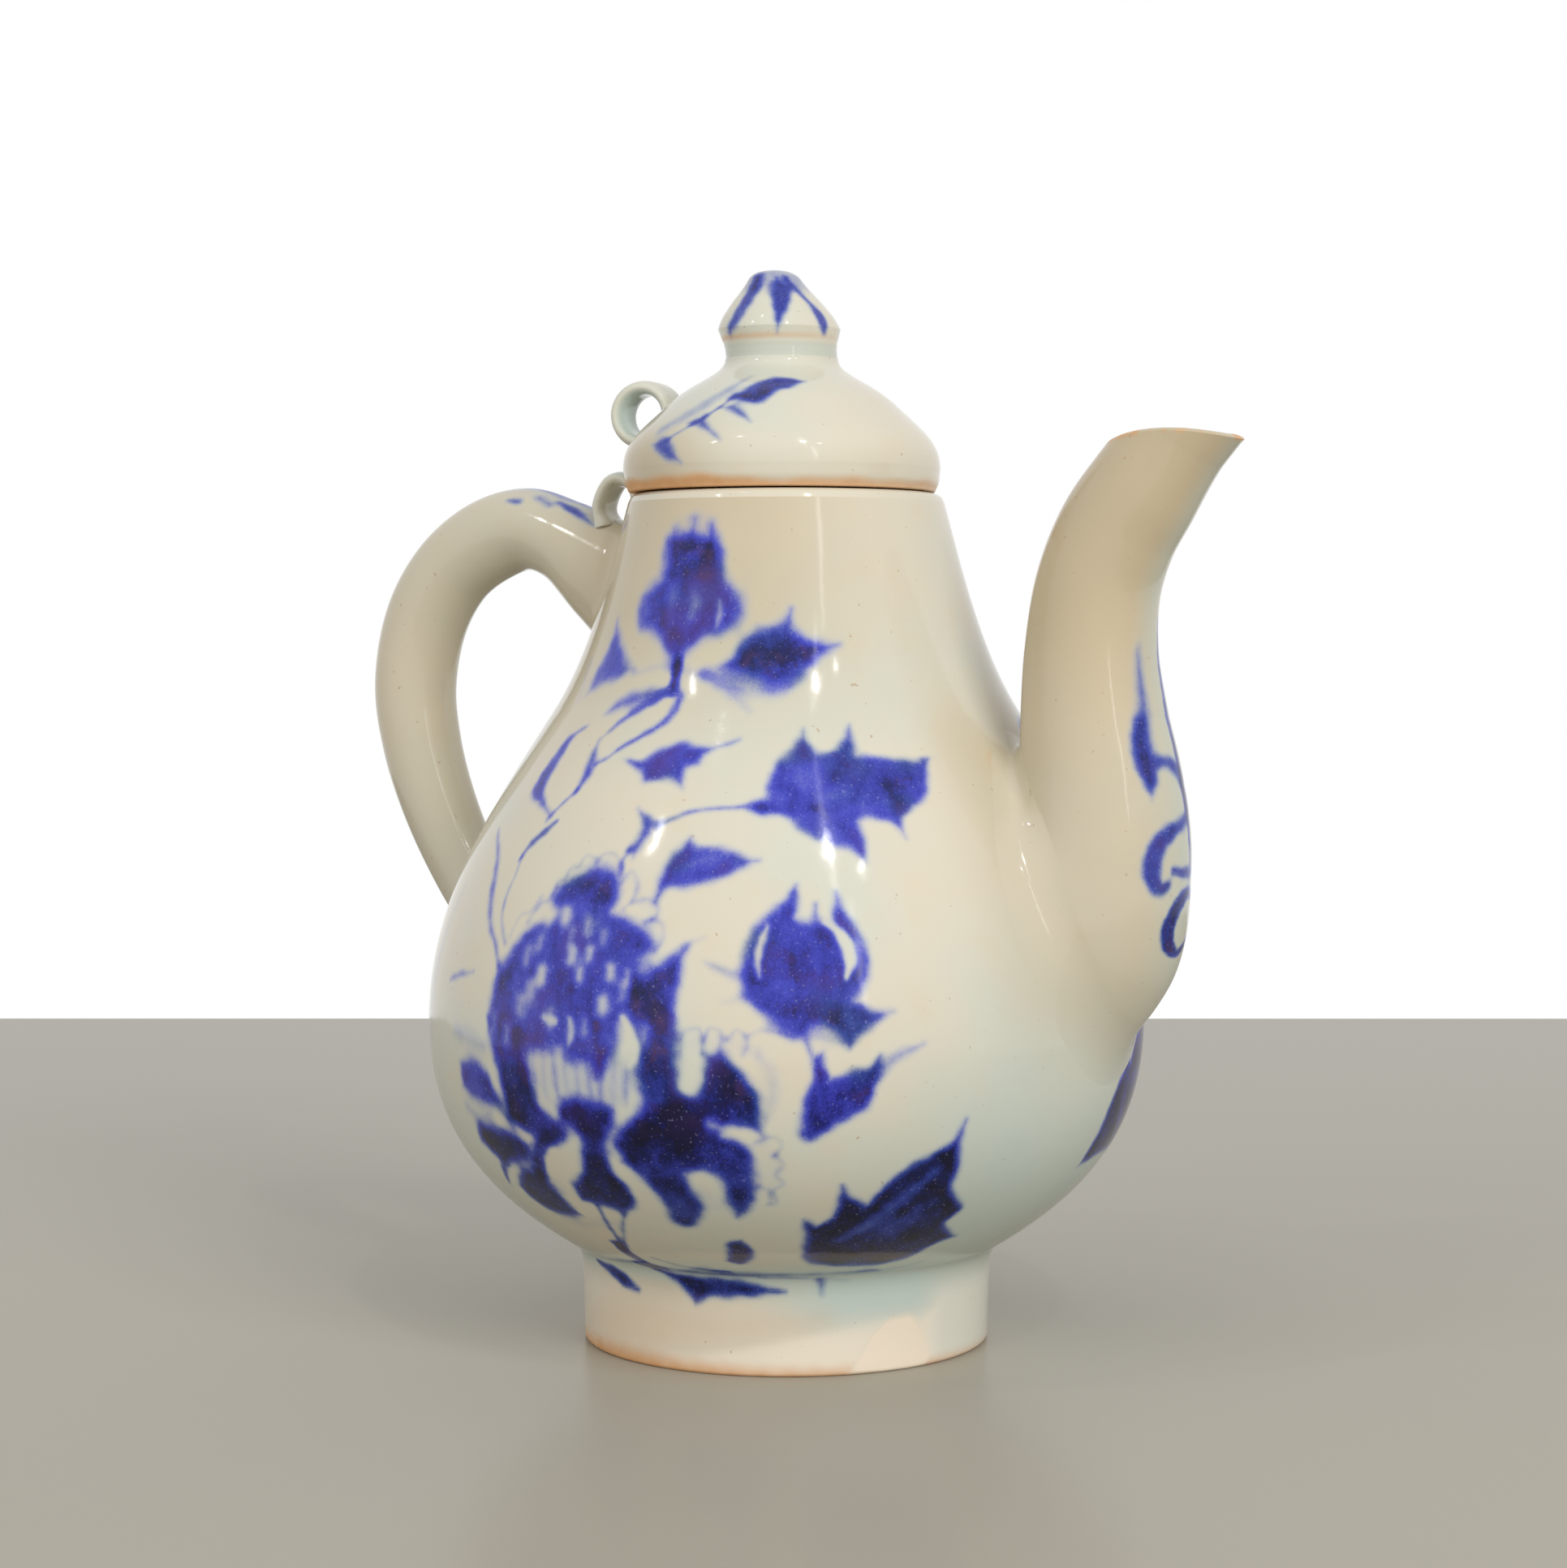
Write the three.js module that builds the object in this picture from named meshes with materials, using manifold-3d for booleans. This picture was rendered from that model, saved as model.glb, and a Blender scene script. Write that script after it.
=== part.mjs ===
// Pear-shaped porcelain teapot with a lift-off lid, built up from the pieces a potter lutes together.
// Millimetres, +Z up. The spout points to +X, the handle to -X, and the foot stands on z = 0.

import * as THREE from 'three';
import { mergeVertices } from 'three/addons/utils/BufferGeometryUtils.js';
import Module from 'manifold-3d';

const wasm = await Module();
wasm.setup();

// Driving dimensions: clearances
const seam = 0.3; // thin joint between two pieces that are luted or rest on each other
const flangeClearance = 1.5; // room round the lid's flange in the mouth

// Driving dimensions: foot ring
const footRadius = 34.1; // outer edge at the table
const footHeight = 15.7; // where its outer wall meets the pot
const footFlare = 0.5; // how much wider it is at the top
const footThickness = 4.4;
const footEdge = 0.7; // rounding at both edges of the contact face
const recessHeight = 9.6; // from the table to the pot's underside, on the axis

// Driving dimensions: pot
const bellyRadius = 60.2;
const bellyHeight = 54;
const shoulderRadius = 39; // where the side turns from full to hollow
const shoulderHeight = 106;
const shoulderLean = 32.5; // degrees that the side leans in there
const neckLean = 15; // degrees that the side leans in under the rim
const footSpread = 60; // degrees that the side leans out over the foot
const rimRadius = 26.6;
const rimHeight = 142.1;
const rimRounding = 1.5;
const rimThickness = 3.7;
const wall = 4;
const floorThickness = 5;

// Driving dimensions: strainer holes in the wall behind the spout
const strainerHoleRadius = 1.8;
const strainerPitch = 6.6;
const strainerHeight = 67;

// Driving dimensions: spout, from its root inside the pot to its lip. A station's place across is a share
// of the belly's radius and its height one of the rim's height. Its half depth and half width are shares
// of the half depth at the root.
const spoutRootDepth = 25;
const spoutWall = 2.6;
const spoutLipRise = 8; // lip over the rim
const spoutLipDrop = 0.011; // fall of the lip away from its middle, per mm squared
const spoutBlend = 7.5; // slip fillet round its root
const spoutStations = [
  { across: 0.5465, up: 0.4504, depth: 1, width: 0.68 },
  { across: 0.7458, up: 0.4856, depth: 0.96, width: 0.68 },
  { across: 0.887, up: 0.5313, depth: 0.82, width: 0.64 },
  { across: 0.9585, up: 0.5911, depth: 0.616, width: 0.552 },
  { across: 0.9651, up: 0.6615, depth: 0.536, width: 0.504 },
  { across: 0.9452, up: 0.7354, depth: 0.48, width: 0.464 },
  { across: 0.9352, up: 0.8128, depth: 0.432, width: 0.424 },
  { across: 0.9535, up: 0.8867, depth: 0.404, width: 0.396 },
  { across: 1.0066, up: 0.9465, depth: 0.388, width: 0.372 },
  { across: 1.0847, up: 0.9958, depth: 0.368, width: 0.352 },
  { across: 1.1827, up: 1.0528, depth: 0.328, width: 0.32 },
];

// Driving dimensions: handle, from its root in the neck round to its root in the belly. Its stations are
// written as the spout's are, with its half thickness on top as their measure.
const handleHalfThickness = 7.5;
const handleBlend = 4;
const handleStations = [
  { across: -0.3987, up: 0.8578, depth: 1.5733, width: 1.2 },
  { across: -0.5847, up: 0.9099, depth: 1.28, width: 1.0933 },
  { across: -0.7375, up: 0.9493, depth: 0.9733, width: 0.9867 },
  { across: -0.8688, up: 0.9655, depth: 0.96, width: 0.96 },
  { across: -1.0033, up: 0.9529, depth: 1, width: 0.96 },
  { across: -1.1412, up: 0.9156, depth: 0.9867, width: 0.96 },
  { across: -1.2409, up: 0.8543, depth: 1, width: 0.96 },
  { across: -1.2841, up: 0.7706, depth: 0.9867, width: 0.96 },
  { across: -1.2608, up: 0.6967, depth: 0.9467, width: 0.9333 },
  { across: -1.2076, up: 0.6298, depth: 0.8933, width: 0.9067 },
  { across: -1.1279, up: 0.563, depth: 0.84, width: 0.88 },
  { across: -1.015, up: 0.4961, depth: 0.84, width: 0.88 },
  { across: -0.8488, up: 0.4293, depth: 0.88, width: 0.9067 },
];

// Driving dimensions: lid and its flange
const lidRadius = 26.7; // at its widest, a little over its edge
const lidEdgeRadius = 25.9;
const lidEdgeRounding = 0.4;
const lidBulgeHeight = 3.8; // from the lid's edge up to its widest place
const lidHaunchRadius = 19.2; // where the dome turns from round to hollow
const lidHaunchHeight = 14.6;
const lidHaunchLean = 47; // degrees that the dome leans in there
const lidCrownRadius = 10.2; // where the knob's collar stands
const lidCrownHeight = 22.3;
const lidCrownLean = 14;
const lidWall = 3;
const lidShift = -0.9; // the lid sits a little toward the handle in its mouth
const flangeDepth = 7;
const flangeThickness = 3;
const flangeEdge = 0.8; // rounding at its lower edge

// Driving dimensions: knob, a pointed bud on a collar
const collarRadius = 9.3;
const collarHeight = 3.4;
const budRadius = 10.3;
const budHeight = 11.3;
const knobEdge = 0.3; // rounding at the collar's foot
const knobLean = 6; // degrees toward the handle

// Driving dimensions: lid loop, a strap bent round on the lid's slope
const lidLoopRadius = 4.7; // middle of the strap
const lidLoopThickness = 2.5;
const lidLoopWidth = 8.6;
const lidLoopReach = 4.2; // from the slope out to the middle of the loop
const lidLoopPlace = 22.7; // radius at which it stands on the slope
const lidLoopStart = -25; // degrees round the loop at which the strap leaves the slope
const lidLoopEnd = 287;
const lidLoopTurn = 10; // degrees that it is set askew

// Driving dimensions: neck loop, a strap from the top of the handle to the neck
const neckLoopThickness = 2.5;
const neckLoopWidth = 8;
const neckLoopSpan = 7.4; // from the neck out to its foot on the handle
const neckLoopRise = 4.6; // from the rim up to the middle of the strap
const neckLoopTurn = 8; // degrees that it is set askew

// Fineness of the faces
const turnSteps = 48; // round the pot
const lidSteps = 40; // round the lid
const knobSteps = 32;
const spoutSides = 24;
const handleSides = 16;
const strapSides = 12;

const radians = THREE.MathUtils.degToRad;
const point2 = (r, z) => new THREE.Vector2(r, z);
const leaning = (degrees) => point2(-Math.sin(radians(degrees)), Math.cos(radians(degrees)));

// Smooth run between two places, leaving and arriving along given directions
function run(from, leave, to, arrive, pull, steps) {
  const span = from.distanceTo(to);
  const first = from.clone().addScaledVector(leave, span * pull[0]);
  const second = to.clone().addScaledVector(arrive, -span * pull[1]);
  return new THREE.CubicBezierCurve(from, first, second, to).getPoints(steps);
}

// Outline moved off itself to its left
function offset(outline, distance) {
  return outline.map((here, i) => {
    const before = outline[Math.max(i - 1, 0)];
    const after = outline[Math.min(i + 1, outline.length - 1)];
    const along = after.clone().sub(before).normalize();
    return point2(here.x - along.y * distance, here.y + along.x * distance);
  });
}

// Radius of an outline that climbs steadily, at a given height
function radiusAt(outline, z) {
  const last = outline.length - 1;
  if (z <= outline[0].y) return outline[0].x;
  if (z >= outline[last].y) return outline[last].x;
  const i = outline.findIndex((p) => p.y > z);
  const [low, high] = [outline[i - 1], outline[i]];
  return THREE.MathUtils.mapLinear(z, low.y, high.y, low.x, high.x);
}

// One closed skin with shared corners and without collapsed faces
function closedSkin(geometry) {
  geometry.deleteAttribute('normal');
  geometry.deleteAttribute('uv');
  const merged = mergeVertices(geometry);
  const corners = merged.index.array;
  const kept = [];
  for (let i = 0; i < corners.length; i += 3) {
    const [a, b, c] = corners.slice(i, i + 3);
    if (a !== b && b !== c && c !== a) kept.push(a, b, c);
  }
  merged.setIndex(kept);
  return merged;
}

// Outline turned round the Z axis; it climbs on the outside
function turned(outline, steps) {
  return closedSkin(new THREE.LatheGeometry(outline, steps).rotateX(Math.PI / 2));
}

// Skin through rings of equal length. A pipe's last ring meets its first; a rod closes on two end points.
function lofted(rings, ends) {
  const sides = rings[0].length;
  const corners = rings.flat().flatMap((p) => p.toArray());
  const faces = [];
  const joints = ends ? rings.length - 1 : rings.length;
  for (let i = 0; i < joints; i += 1) {
    const here = i * sides;
    const next = ((i + 1) % rings.length) * sides;
    for (let k = 0; k < sides; k += 1) {
      const m = (k + 1) % sides;
      faces.push(here + k, here + m, next + m, here + k, next + m, next + k);
    }
  }
  if (ends) {
    const tip = rings.length * sides;
    const last = (rings.length - 1) * sides;
    corners.push(...ends[0].toArray(), ...ends[1].toArray());
    for (let k = 0; k < sides; k += 1) {
      const m = (k + 1) % sides;
      faces.push(tip, m, k, tip + 1, last + k, last + m);
    }
  }
  const geometry = new THREE.BufferGeometry();
  geometry.setAttribute('position', new THREE.Float32BufferAttribute(corners, 3));
  geometry.setIndex(faces);
  return geometry;
}

// Joins and cuts
function toManifold(geometry) {
  const vertProperties = new Float32Array(geometry.attributes.position.array);
  const triVerts = new Uint32Array(geometry.index.array);
  return new wasm.Manifold(new wasm.Mesh({ numProp: 3, vertProperties, triVerts }));
}

function fromManifold(body) {
  const { vertProperties, triVerts } = body.getMesh();
  const geometry = new THREE.BufferGeometry();
  geometry.setAttribute('position', new THREE.BufferAttribute(vertProperties, 3));
  geometry.setIndex(new THREE.BufferAttribute(triVerts, 1));
  return geometry;
}

// What the tools leave of a body; slivers that they cut off fall away
function cut(geometry, ...tools) {
  const left = tools.reduce((body, tool) => body.subtract(toManifold(tool)), toManifold(geometry));
  const bodies = left.decompose().sort((a, b) => b.volume() - a.volume());
  return fromManifold(bodies[0]);
}

// Outline of the pot, from the crease over the foot up to the rim
const creaseRadius = footRadius + footFlare;
const crease = point2(creaseRadius, footHeight);
const belly = point2(bellyRadius, bellyHeight);
const shoulder = point2(shoulderRadius, shoulderHeight);
const rimRoot = point2(rimRadius, rimHeight - rimRounding);
const potSide = [
  ...run(crease, leaning(-footSpread), belly, leaning(0), [0.38, 0.41], 9),
  ...run(belly, leaning(0), shoulder, leaning(shoulderLean), [0.36, 0.35], 9).slice(1),
  ...run(shoulder, leaning(shoulderLean), rimRoot, leaning(neckLean), [0.31, 0.32], 6).slice(1),
];
const potRadius = (z) => radiusAt(potSide, z);

// Underside of the pot inside the foot: nearly flat, curling up to the crease
function undersideHeight(r) {
  return recessHeight + (footHeight - recessHeight) * (r / creaseRadius) ** 3;
}

const mouthRadius = rimRadius - rimThickness;

function bodyGeometry() {
  const underRadii = [0, 0.35, 0.65, 0.85].map((f) => f * creaseRadius);
  const under = underRadii.map((r) => point2(r, undersideHeight(r)));
  const rim = [
    point2(rimRadius - rimRounding * 0.35, rimHeight - rimRounding * 0.35),
    point2(rimRadius - rimRounding, rimHeight),
    point2(mouthRadius + rimRounding * 0.5, rimHeight),
    point2(mouthRadius, rimHeight - rimRounding * 0.5),
    point2(mouthRadius, rimHeight - rimRounding * 2.5),
  ];
  const inside = offset(potSide, wall).filter((p, i) => i % 2 === 0).slice(1, -1).reverse();
  const floorHeight = recessHeight + floorThickness;
  const floor = [point2(creaseRadius * 0.6, floorHeight + wall * 0.3), point2(0, floorHeight)];
  const shell = turned([...under, ...potSide, ...rim, ...inside, ...floor], turnSteps);
  return cut(shell, ...strainerPins());
}

// Pins that pierce the strainer holes: one in the middle and four round it
function strainerPins() {
  const places = [0, 1, 2, 3].map((k) => [Math.cos((k * Math.PI) / 2), Math.sin((k * Math.PI) / 2)]);
  return [[0, 0], ...places].map(([across, up]) => {
    const pin = new THREE.CylinderGeometry(strainerHoleRadius, strainerHoleRadius, wall * 4, 10);
    pin.rotateZ(Math.PI / 2);
    const z = strainerHeight + up * strainerPitch;
    pin.translate(potRadius(z) - wall / 2, across * strainerPitch, z);
    return closedSkin(pin);
  });
}

function footGeometry() {
  const innerTop = creaseRadius - footThickness;
  const innerRadius = footRadius - footThickness;
  const seat = [1, 0.75, 0.5, 0.25, 0].map((f) => {
    const r = THREE.MathUtils.lerp(innerTop, creaseRadius, f);
    return point2(r, undersideHeight(r) - seam);
  });
  const outline = [
    point2(innerRadius + footEdge, 0),
    point2(footRadius - footEdge, 0),
    point2(footRadius - footEdge * 0.3, footEdge * 0.3),
    point2(footRadius, footEdge),
    point2(footRadius + footFlare * 0.4, footHeight * 0.5),
    ...seat,
    point2(innerRadius, footEdge),
    point2(innerRadius + footEdge * 0.3, footEdge * 0.3),
    point2(innerRadius + footEdge, 0),
  ];
  return turned(outline, turnSteps);
}

// Bent limb in the XZ plane with an oval section that changes along its length
class Limb {
  constructor(stations, girth) {
    const places = stations.map((s) => new THREE.Vector3(s.across * bellyRadius, 0, s.up * rimHeight));
    this.line = new THREE.CatmullRomCurve3(places);
    this.depths = new THREE.SplineCurve(stations.map((s, i) => point2(i, s.depth * girth)));
    this.widths = new THREE.SplineCurve(stations.map((s, i) => point2(i, s.width * girth)));
  }

  // Point of the skin, or of a skin deeper by inset, at a place along the limb and an angle round it
  at(t, angle, inset = 0) {
    const along = this.line.getTangent(t);
    const outward = new THREE.Vector3(along.z, 0, -along.x);
    const depth = this.depths.getPoint(t).y - inset;
    const width = this.widths.getPoint(t).y - inset;
    return this.line
      .getPoint(t)
      .addScaledVector(outward, depth * Math.cos(angle))
      .add(new THREE.Vector3(0, width * Math.sin(angle), 0));
  }

  // Place where the limb's skin at this angle comes down to the pot, looking from one place to another
  landing(from, to, angle, inset = 0) {
    const steps = 400;
    for (let i = 0; i <= steps; i += 1) {
      const t = THREE.MathUtils.lerp(from, to, i / steps);
      if (heightOverPot(this.at(t, angle, inset)) < 0) return t;
    }
    return to;
  }

  // Place along the limb that lies a given distance before its landing
  before(landing, from, angle, distance) {
    const end = this.at(landing, angle);
    const steps = 400;
    for (let i = 1; i <= steps; i += 1) {
      const t = THREE.MathUtils.lerp(landing, from, i / steps);
      if (this.at(t, angle).distanceTo(end) >= distance) return t;
    }
    return from;
  }
}

const heightOverPot = (p) => Math.hypot(p.x, p.y) - potRadius(p.z) - seam;

// The same place, brought on to the pot's side
function ontoPot(p) {
  const turn = Math.atan2(p.y, p.x);
  const r = potRadius(p.z) + seam;
  return new THREE.Vector3(r * Math.cos(turn), r * Math.sin(turn), p.z);
}

// Slip fillet from a limb's skin down on to the pot: rings from the limb to the fillet's outer edge
function filletRings(limb, from, to, blend, sides, steps) {
  const angles = Array.from({ length: sides }, (_, k) => (2 * Math.PI * k) / sides);
  const landings = angles.map((angle) => limb.landing(from, to, angle));
  const feet = angles.map((angle, k) => ontoPot(limb.at(landings[k], angle)));
  const middle = feet.reduce((sum, p) => sum.add(p), new THREE.Vector3()).divideScalar(sides);
  const starts = angles.map((angle, k) => limb.before(landings[k], from, angle, blend));
  const curves = angles.map((angle, k) => {
    const away = feet[k].clone().sub(middle).normalize();
    const edge = ontoPot(feet[k].clone().addScaledVector(away, blend));
    return new THREE.QuadraticBezierCurve3(limb.at(starts[k], angle), feet[k], edge);
  });
  const rings = Array.from({ length: steps }, (_, i) => {
    const t = (i + 1) / steps;
    return curves.map((curve) => curve.getPoint(t));
  });
  rings.forEach((ring) => ring.forEach((p) => {
    if (heightOverPot(p) < 0) p.copy(ontoPot(p));
  }));
  return { angles, starts, rings };
}

// Rings on the pot's side from one ring to another, ends left out
function ringsAcross(fromRing, toRing, steps) {
  return Array.from({ length: steps - 1 }, (_, i) => {
    const f = (i + 1) / steps;
    return fromRing.map((p, k) => ontoPot(p.clone().lerp(toRing[k], f)));
  });
}

// The spout's skin runs on along its own line to a level lip
const spoutLipHeight = rimHeight + spoutLipRise;
const lipStart = 0.8; // place along the spout where its rings begin to turn level
function spoutPoint(limb, t, angle, inset = 0) {
  const p = limb.at(t, angle, inset);
  const middle = limb.line.getPoint(1);
  const along = limb.line.getTangent(1);
  const reach = (spoutLipHeight - p.z) / along.z;
  const landing = p.clone().addScaledVector(along, reach);
  landing.z -= spoutLipDrop * (landing.x - middle.x) ** 2;
  const turn = THREE.MathUtils.smoothstep(t, lipStart, 1);
  if (t >= 1) return landing;
  const bend = limb.at(1, angle, inset);
  const shift = (spoutLipHeight - spoutLipDrop * (landing.x - middle.x) ** 2 - bend.z) / along.z;
  return p.addScaledVector(along, shift * turn);
}

const spoutLimb = new Limb(spoutStations, spoutRootDepth);
const handleLimb = new Limb(handleStations, handleHalfThickness);

function spoutGeometry() {
  const { angles, starts, rings: fillet } = filletRings(spoutLimb, 1, 0, spoutBlend, spoutSides, 4);
  const rows = 15;
  const outer = Array.from({ length: rows }, (_, i) =>
    angles.map((angle, k) => {
      const t = THREE.MathUtils.lerp(1, starts[k], i / (rows - 1));
      return spoutPoint(spoutLimb, t, angle);
    }));
  const boreRows = 11;
  const boreEnds = angles.map((angle) => spoutLimb.landing(1, 0, angle, spoutWall));
  const bore = Array.from({ length: boreRows }, (_, i) =>
    angles.map((angle, k) => {
      const t = THREE.MathUtils.lerp(boreEnds[k], 1, i / (boreRows - 1));
      return spoutPoint(spoutLimb, t, angle, spoutWall);
    }));
  const boreMouth = bore[0].map((p) => ontoPot(p));
  const seat = ringsAcross(fillet[fillet.length - 1], boreMouth, 3);
  const lip = bore[boreRows - 1].map((p, k) => {
    const crest = p.clone().lerp(outer[0][k], 0.5);
    crest.z += spoutWall * 0.2;
    return crest;
  });
  return lofted([...outer, ...fillet, ...seat, boreMouth, ...bore.slice(1), lip].reverse());
}

function handleGeometry() {
  const middle = 0.5;
  const upper = filletRings(handleLimb, middle, 0, handleBlend, handleSides, 3);
  const lower = filletRings(handleLimb, middle, 1, handleBlend, handleSides, 3);
  const rows = 22;
  const shaft = Array.from({ length: rows }, (_, i) =>
    upper.angles.map((angle, k) => {
      const t = THREE.MathUtils.lerp(upper.starts[k], lower.starts[k], i / (rows - 1));
      return handleLimb.at(t, angle);
    }));
  const ends = [upper, lower].map(({ rings }) => {
    const edge = rings[rings.length - 1];
    const centre = edge.reduce((sum, p) => sum.add(p), new THREE.Vector3()).divideScalar(edge.length);
    return { edge, tip: ontoPot(centre) };
  });
  const seats = ends.map(({ edge, tip }) => edge.map((p) => ontoPot(p.clone().lerp(tip, 0.5))));
  const rings = [seats[0], ...upper.rings.reverse(), ...shaft, ...lower.rings, seats[1]];
  return lofted(rings, [ends[0].tip, ends[1].tip]);
}

// Strap with rounded edges along a curve in the XZ plane
function strap(curve, thickness, width, steps) {
  const rings = Array.from({ length: steps + 1 }, (_, i) => {
    const t = i / steps;
    const along = curve.getTangent(t);
    const outward = new THREE.Vector3(along.z, 0, -along.x);
    return Array.from({ length: strapSides }, (__, k) => {
      const angle = (2 * Math.PI * k) / strapSides;
      const across = Math.sign(Math.sin(angle)) * Math.abs(Math.sin(angle)) ** 0.6;
      return curve
        .getPoint(t)
        .addScaledVector(outward, (thickness / 2) * Math.cos(angle))
        .add(new THREE.Vector3(0, (width / 2) * across, 0));
    });
  });
  return lofted(rings, [curve.getPoint(0), curve.getPoint(1)]);
}

// The strap turned about an upright line through a place
function askew(geometry, degrees, x) {
  return geometry.translate(-x, 0, 0).rotateZ(radians(degrees)).translate(x, 0, 0);
}

function neckLoopGeometry() {
  const neck = -(rimRadius + seam + neckLoopThickness / 2);
  const foot = -(rimRadius + neckLoopSpan + neckLoopThickness / 2);
  const top = rimHeight + neckLoopRise;
  const thick = neckLoopThickness;
  const places = [
    [foot + thick * 0.16, rimHeight - thick * 2],
    [foot - thick * 0.24, rimHeight - thick * 0.56],
    [foot + thick * 0.56, top - thick * 0.76],
    [(foot + neck) / 2, top - thick * 0.5],
    [neck - thick * 0.44, top - thick * 1.04],
    [neck - thick * 0.08, rimHeight - thick * 0.6],
    [neck - thick * 0.24, rimHeight - thick * 2.4],
  ];
  const curve = new THREE.CatmullRomCurve3(places.map(([x, z]) => new THREE.Vector3(x, 0, z)));
  const loop = askew(strap(curve, neckLoopThickness, neckLoopWidth, 14), neckLoopTurn, neck);
  const neckTop = point2(0, rimHeight - rimRounding);
  const neckCore = turned([point2(0, 0), ...offset(potSide, -seam), neckTop], turnSteps);
  const handle = handleGeometry();
  return cut(loop, handle, handle.clone().translate(0, 0, seam * 1.2), neckCore);
}

// Outline of the lid, from its edge up to the crown
const lidBase = rimHeight + seam;
const lidBulge = point2(lidRadius, lidBase + lidBulgeHeight);
const lidHaunch = point2(lidHaunchRadius, lidBase + lidHaunchHeight);
const lidCrown = point2(lidCrownRadius, lidBase + lidCrownHeight);
const lidSide = [
  point2(lidEdgeRadius, lidBase + lidEdgeRounding),
  point2(lidRadius * 0.99, lidBase + lidBulgeHeight * 0.45),
  ...run(lidBulge, leaning(0), lidHaunch, leaning(lidHaunchLean), [0.34, 0.5], 7),
  ...run(lidHaunch, leaning(lidHaunchLean), lidCrown, leaning(lidCrownLean), [0.5, 0.36], 5).slice(1),
];
const flangeRadius = mouthRadius - flangeClearance;

function lidGeometry() {
  const ledge = flangeRadius - flangeThickness;
  const inner = offset(lidSide, lidWall).filter((p) => p.x < ledge - lidEdgeRounding).reverse();
  const outline = [
    point2(ledge, lidBase),
    point2(lidEdgeRadius - lidEdgeRounding, lidBase),
    ...lidSide,
    point2(0, lidBase + lidCrownHeight),
  ];
  const hollow = [point2(0, inner[0].y - lidWall * 0.2), ...inner];
  return turned([...hollow, ...outline], lidSteps);
}

function flangeGeometry() {
  const top = lidBase - seam;
  const bottom = lidBase - flangeDepth;
  const inner = flangeRadius - flangeThickness;
  const outline = [
    point2(inner, top),
    point2(inner + flangeEdge * 0.25, bottom + flangeEdge * 0.6),
    point2(inner + flangeEdge, bottom),
    point2(flangeRadius - flangeEdge * 1.6, bottom),
    point2(flangeRadius - flangeEdge * 0.6, bottom + flangeEdge * 0.75),
    point2(flangeRadius, top - flangeEdge),
    point2(flangeRadius, top),
    point2(inner, top),
  ];
  return turned(outline, lidSteps);
}

function knobGeometry() {
  const foot = point2(collarRadius, collarHeight * 0.24);
  const shoulderOfBud = point2(budRadius, collarHeight * 1.38);
  const tip = point2(0, collarHeight + budHeight);
  const bud = run(shoulderOfBud, leaning(0), tip, leaning(90), [0.3, 0.2], 9);
  const outline = [
    point2(0, 0),
    point2(collarRadius - knobEdge, 0),
    foot,
    point2(collarRadius * 1.054, collarHeight * 0.65),
    point2(budRadius * 0.966, collarHeight),
    ...bud,
  ];
  const lean = new THREE.Matrix4().makeShear(0, 0, 0, 0, -Math.tan(radians(knobLean)), 0);
  return turned(outline, knobSteps).applyMatrix4(lean);
}

function lidLoopGeometry() {
  const z = radiusHeight(lidLoopPlace);
  const slope = Math.atan2(lidHaunchHeight - lidBulgeHeight, lidRadius - lidHaunchRadius);
  const x = -lidLoopPlace - lidLoopReach * Math.sin(slope);
  const centre = new THREE.Vector3(x, 0, z + lidLoopReach * Math.cos(slope));
  const places = Array.from({ length: 12 }, (_, i) => {
    const angle = radians(THREE.MathUtils.lerp(lidLoopStart, lidLoopEnd, i / 11));
    const bend = new THREE.Vector3(Math.cos(angle), 0, Math.sin(angle));
    return centre.clone().addScaledVector(bend, lidLoopRadius);
  });
  const loop = strap(new THREE.CatmullRomCurve3(places), lidLoopThickness, lidLoopWidth, 20);
  const core = turned([point2(0, lidBase), ...offset(lidSide, -seam), point2(0, lidCrown.y)], lidSteps);
  return cut(askew(loop, lidLoopTurn, -lidLoopPlace), core);
}

// Height of the lid's slope at a given radius
function radiusHeight(r) {
  const i = lidSide.findIndex((p, k) => k > 2 && p.x < r);
  return THREE.MathUtils.mapLinear(r, lidSide[i - 1].x, lidSide[i].x, lidSide[i - 1].y, lidSide[i].y);
}

// Glaze and bare clay
const glaze = (color) => new THREE.MeshStandardMaterial({ color, roughness: 0.18, metalness: 0 });
const bareClay = (color) => new THREE.MeshStandardMaterial({ color, roughness: 0.75, metalness: 0 });
const paleGlaze = '#d9d3c3';
const coolGlaze = '#cdd0c4';

function piece(name, geometry, material) {
  const mesh = new THREE.Mesh(geometry, material);
  mesh.name = name;
  return mesh;
}

const pot = new THREE.Group();
pot.add(
  piece('body', bodyGeometry(), glaze(paleGlaze)),
  piece('foot_ring', footGeometry(), glaze(coolGlaze)),
  piece('spout', spoutGeometry(), glaze(paleGlaze)),
  piece('handle', handleGeometry(), glaze(paleGlaze)),
  piece('neck_loop', neckLoopGeometry(), glaze(coolGlaze)),
);

const lid = new THREE.Group();
lid.position.x = lidShift;
const knob = piece('knob', knobGeometry(), glaze(coolGlaze));
knob.position.z = lidBase + lidCrownHeight + seam;
lid.add(
  piece('lid', lidGeometry(), glaze(paleGlaze)),
  piece('lid_flange', flangeGeometry(), bareClay('#c79a6b')),
  knob,
  piece('lid_loop', lidLoopGeometry(), glaze(coolGlaze)),
);

// The frame's origin lies on the table, under the middle of the whole teapot
const teapot = new THREE.Group();
teapot.add(pot, lid);
const box = new THREE.Box3().setFromObject(teapot, true);
teapot.position.x = -(box.min.x + box.max.x) / 2;

export default teapot;
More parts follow.
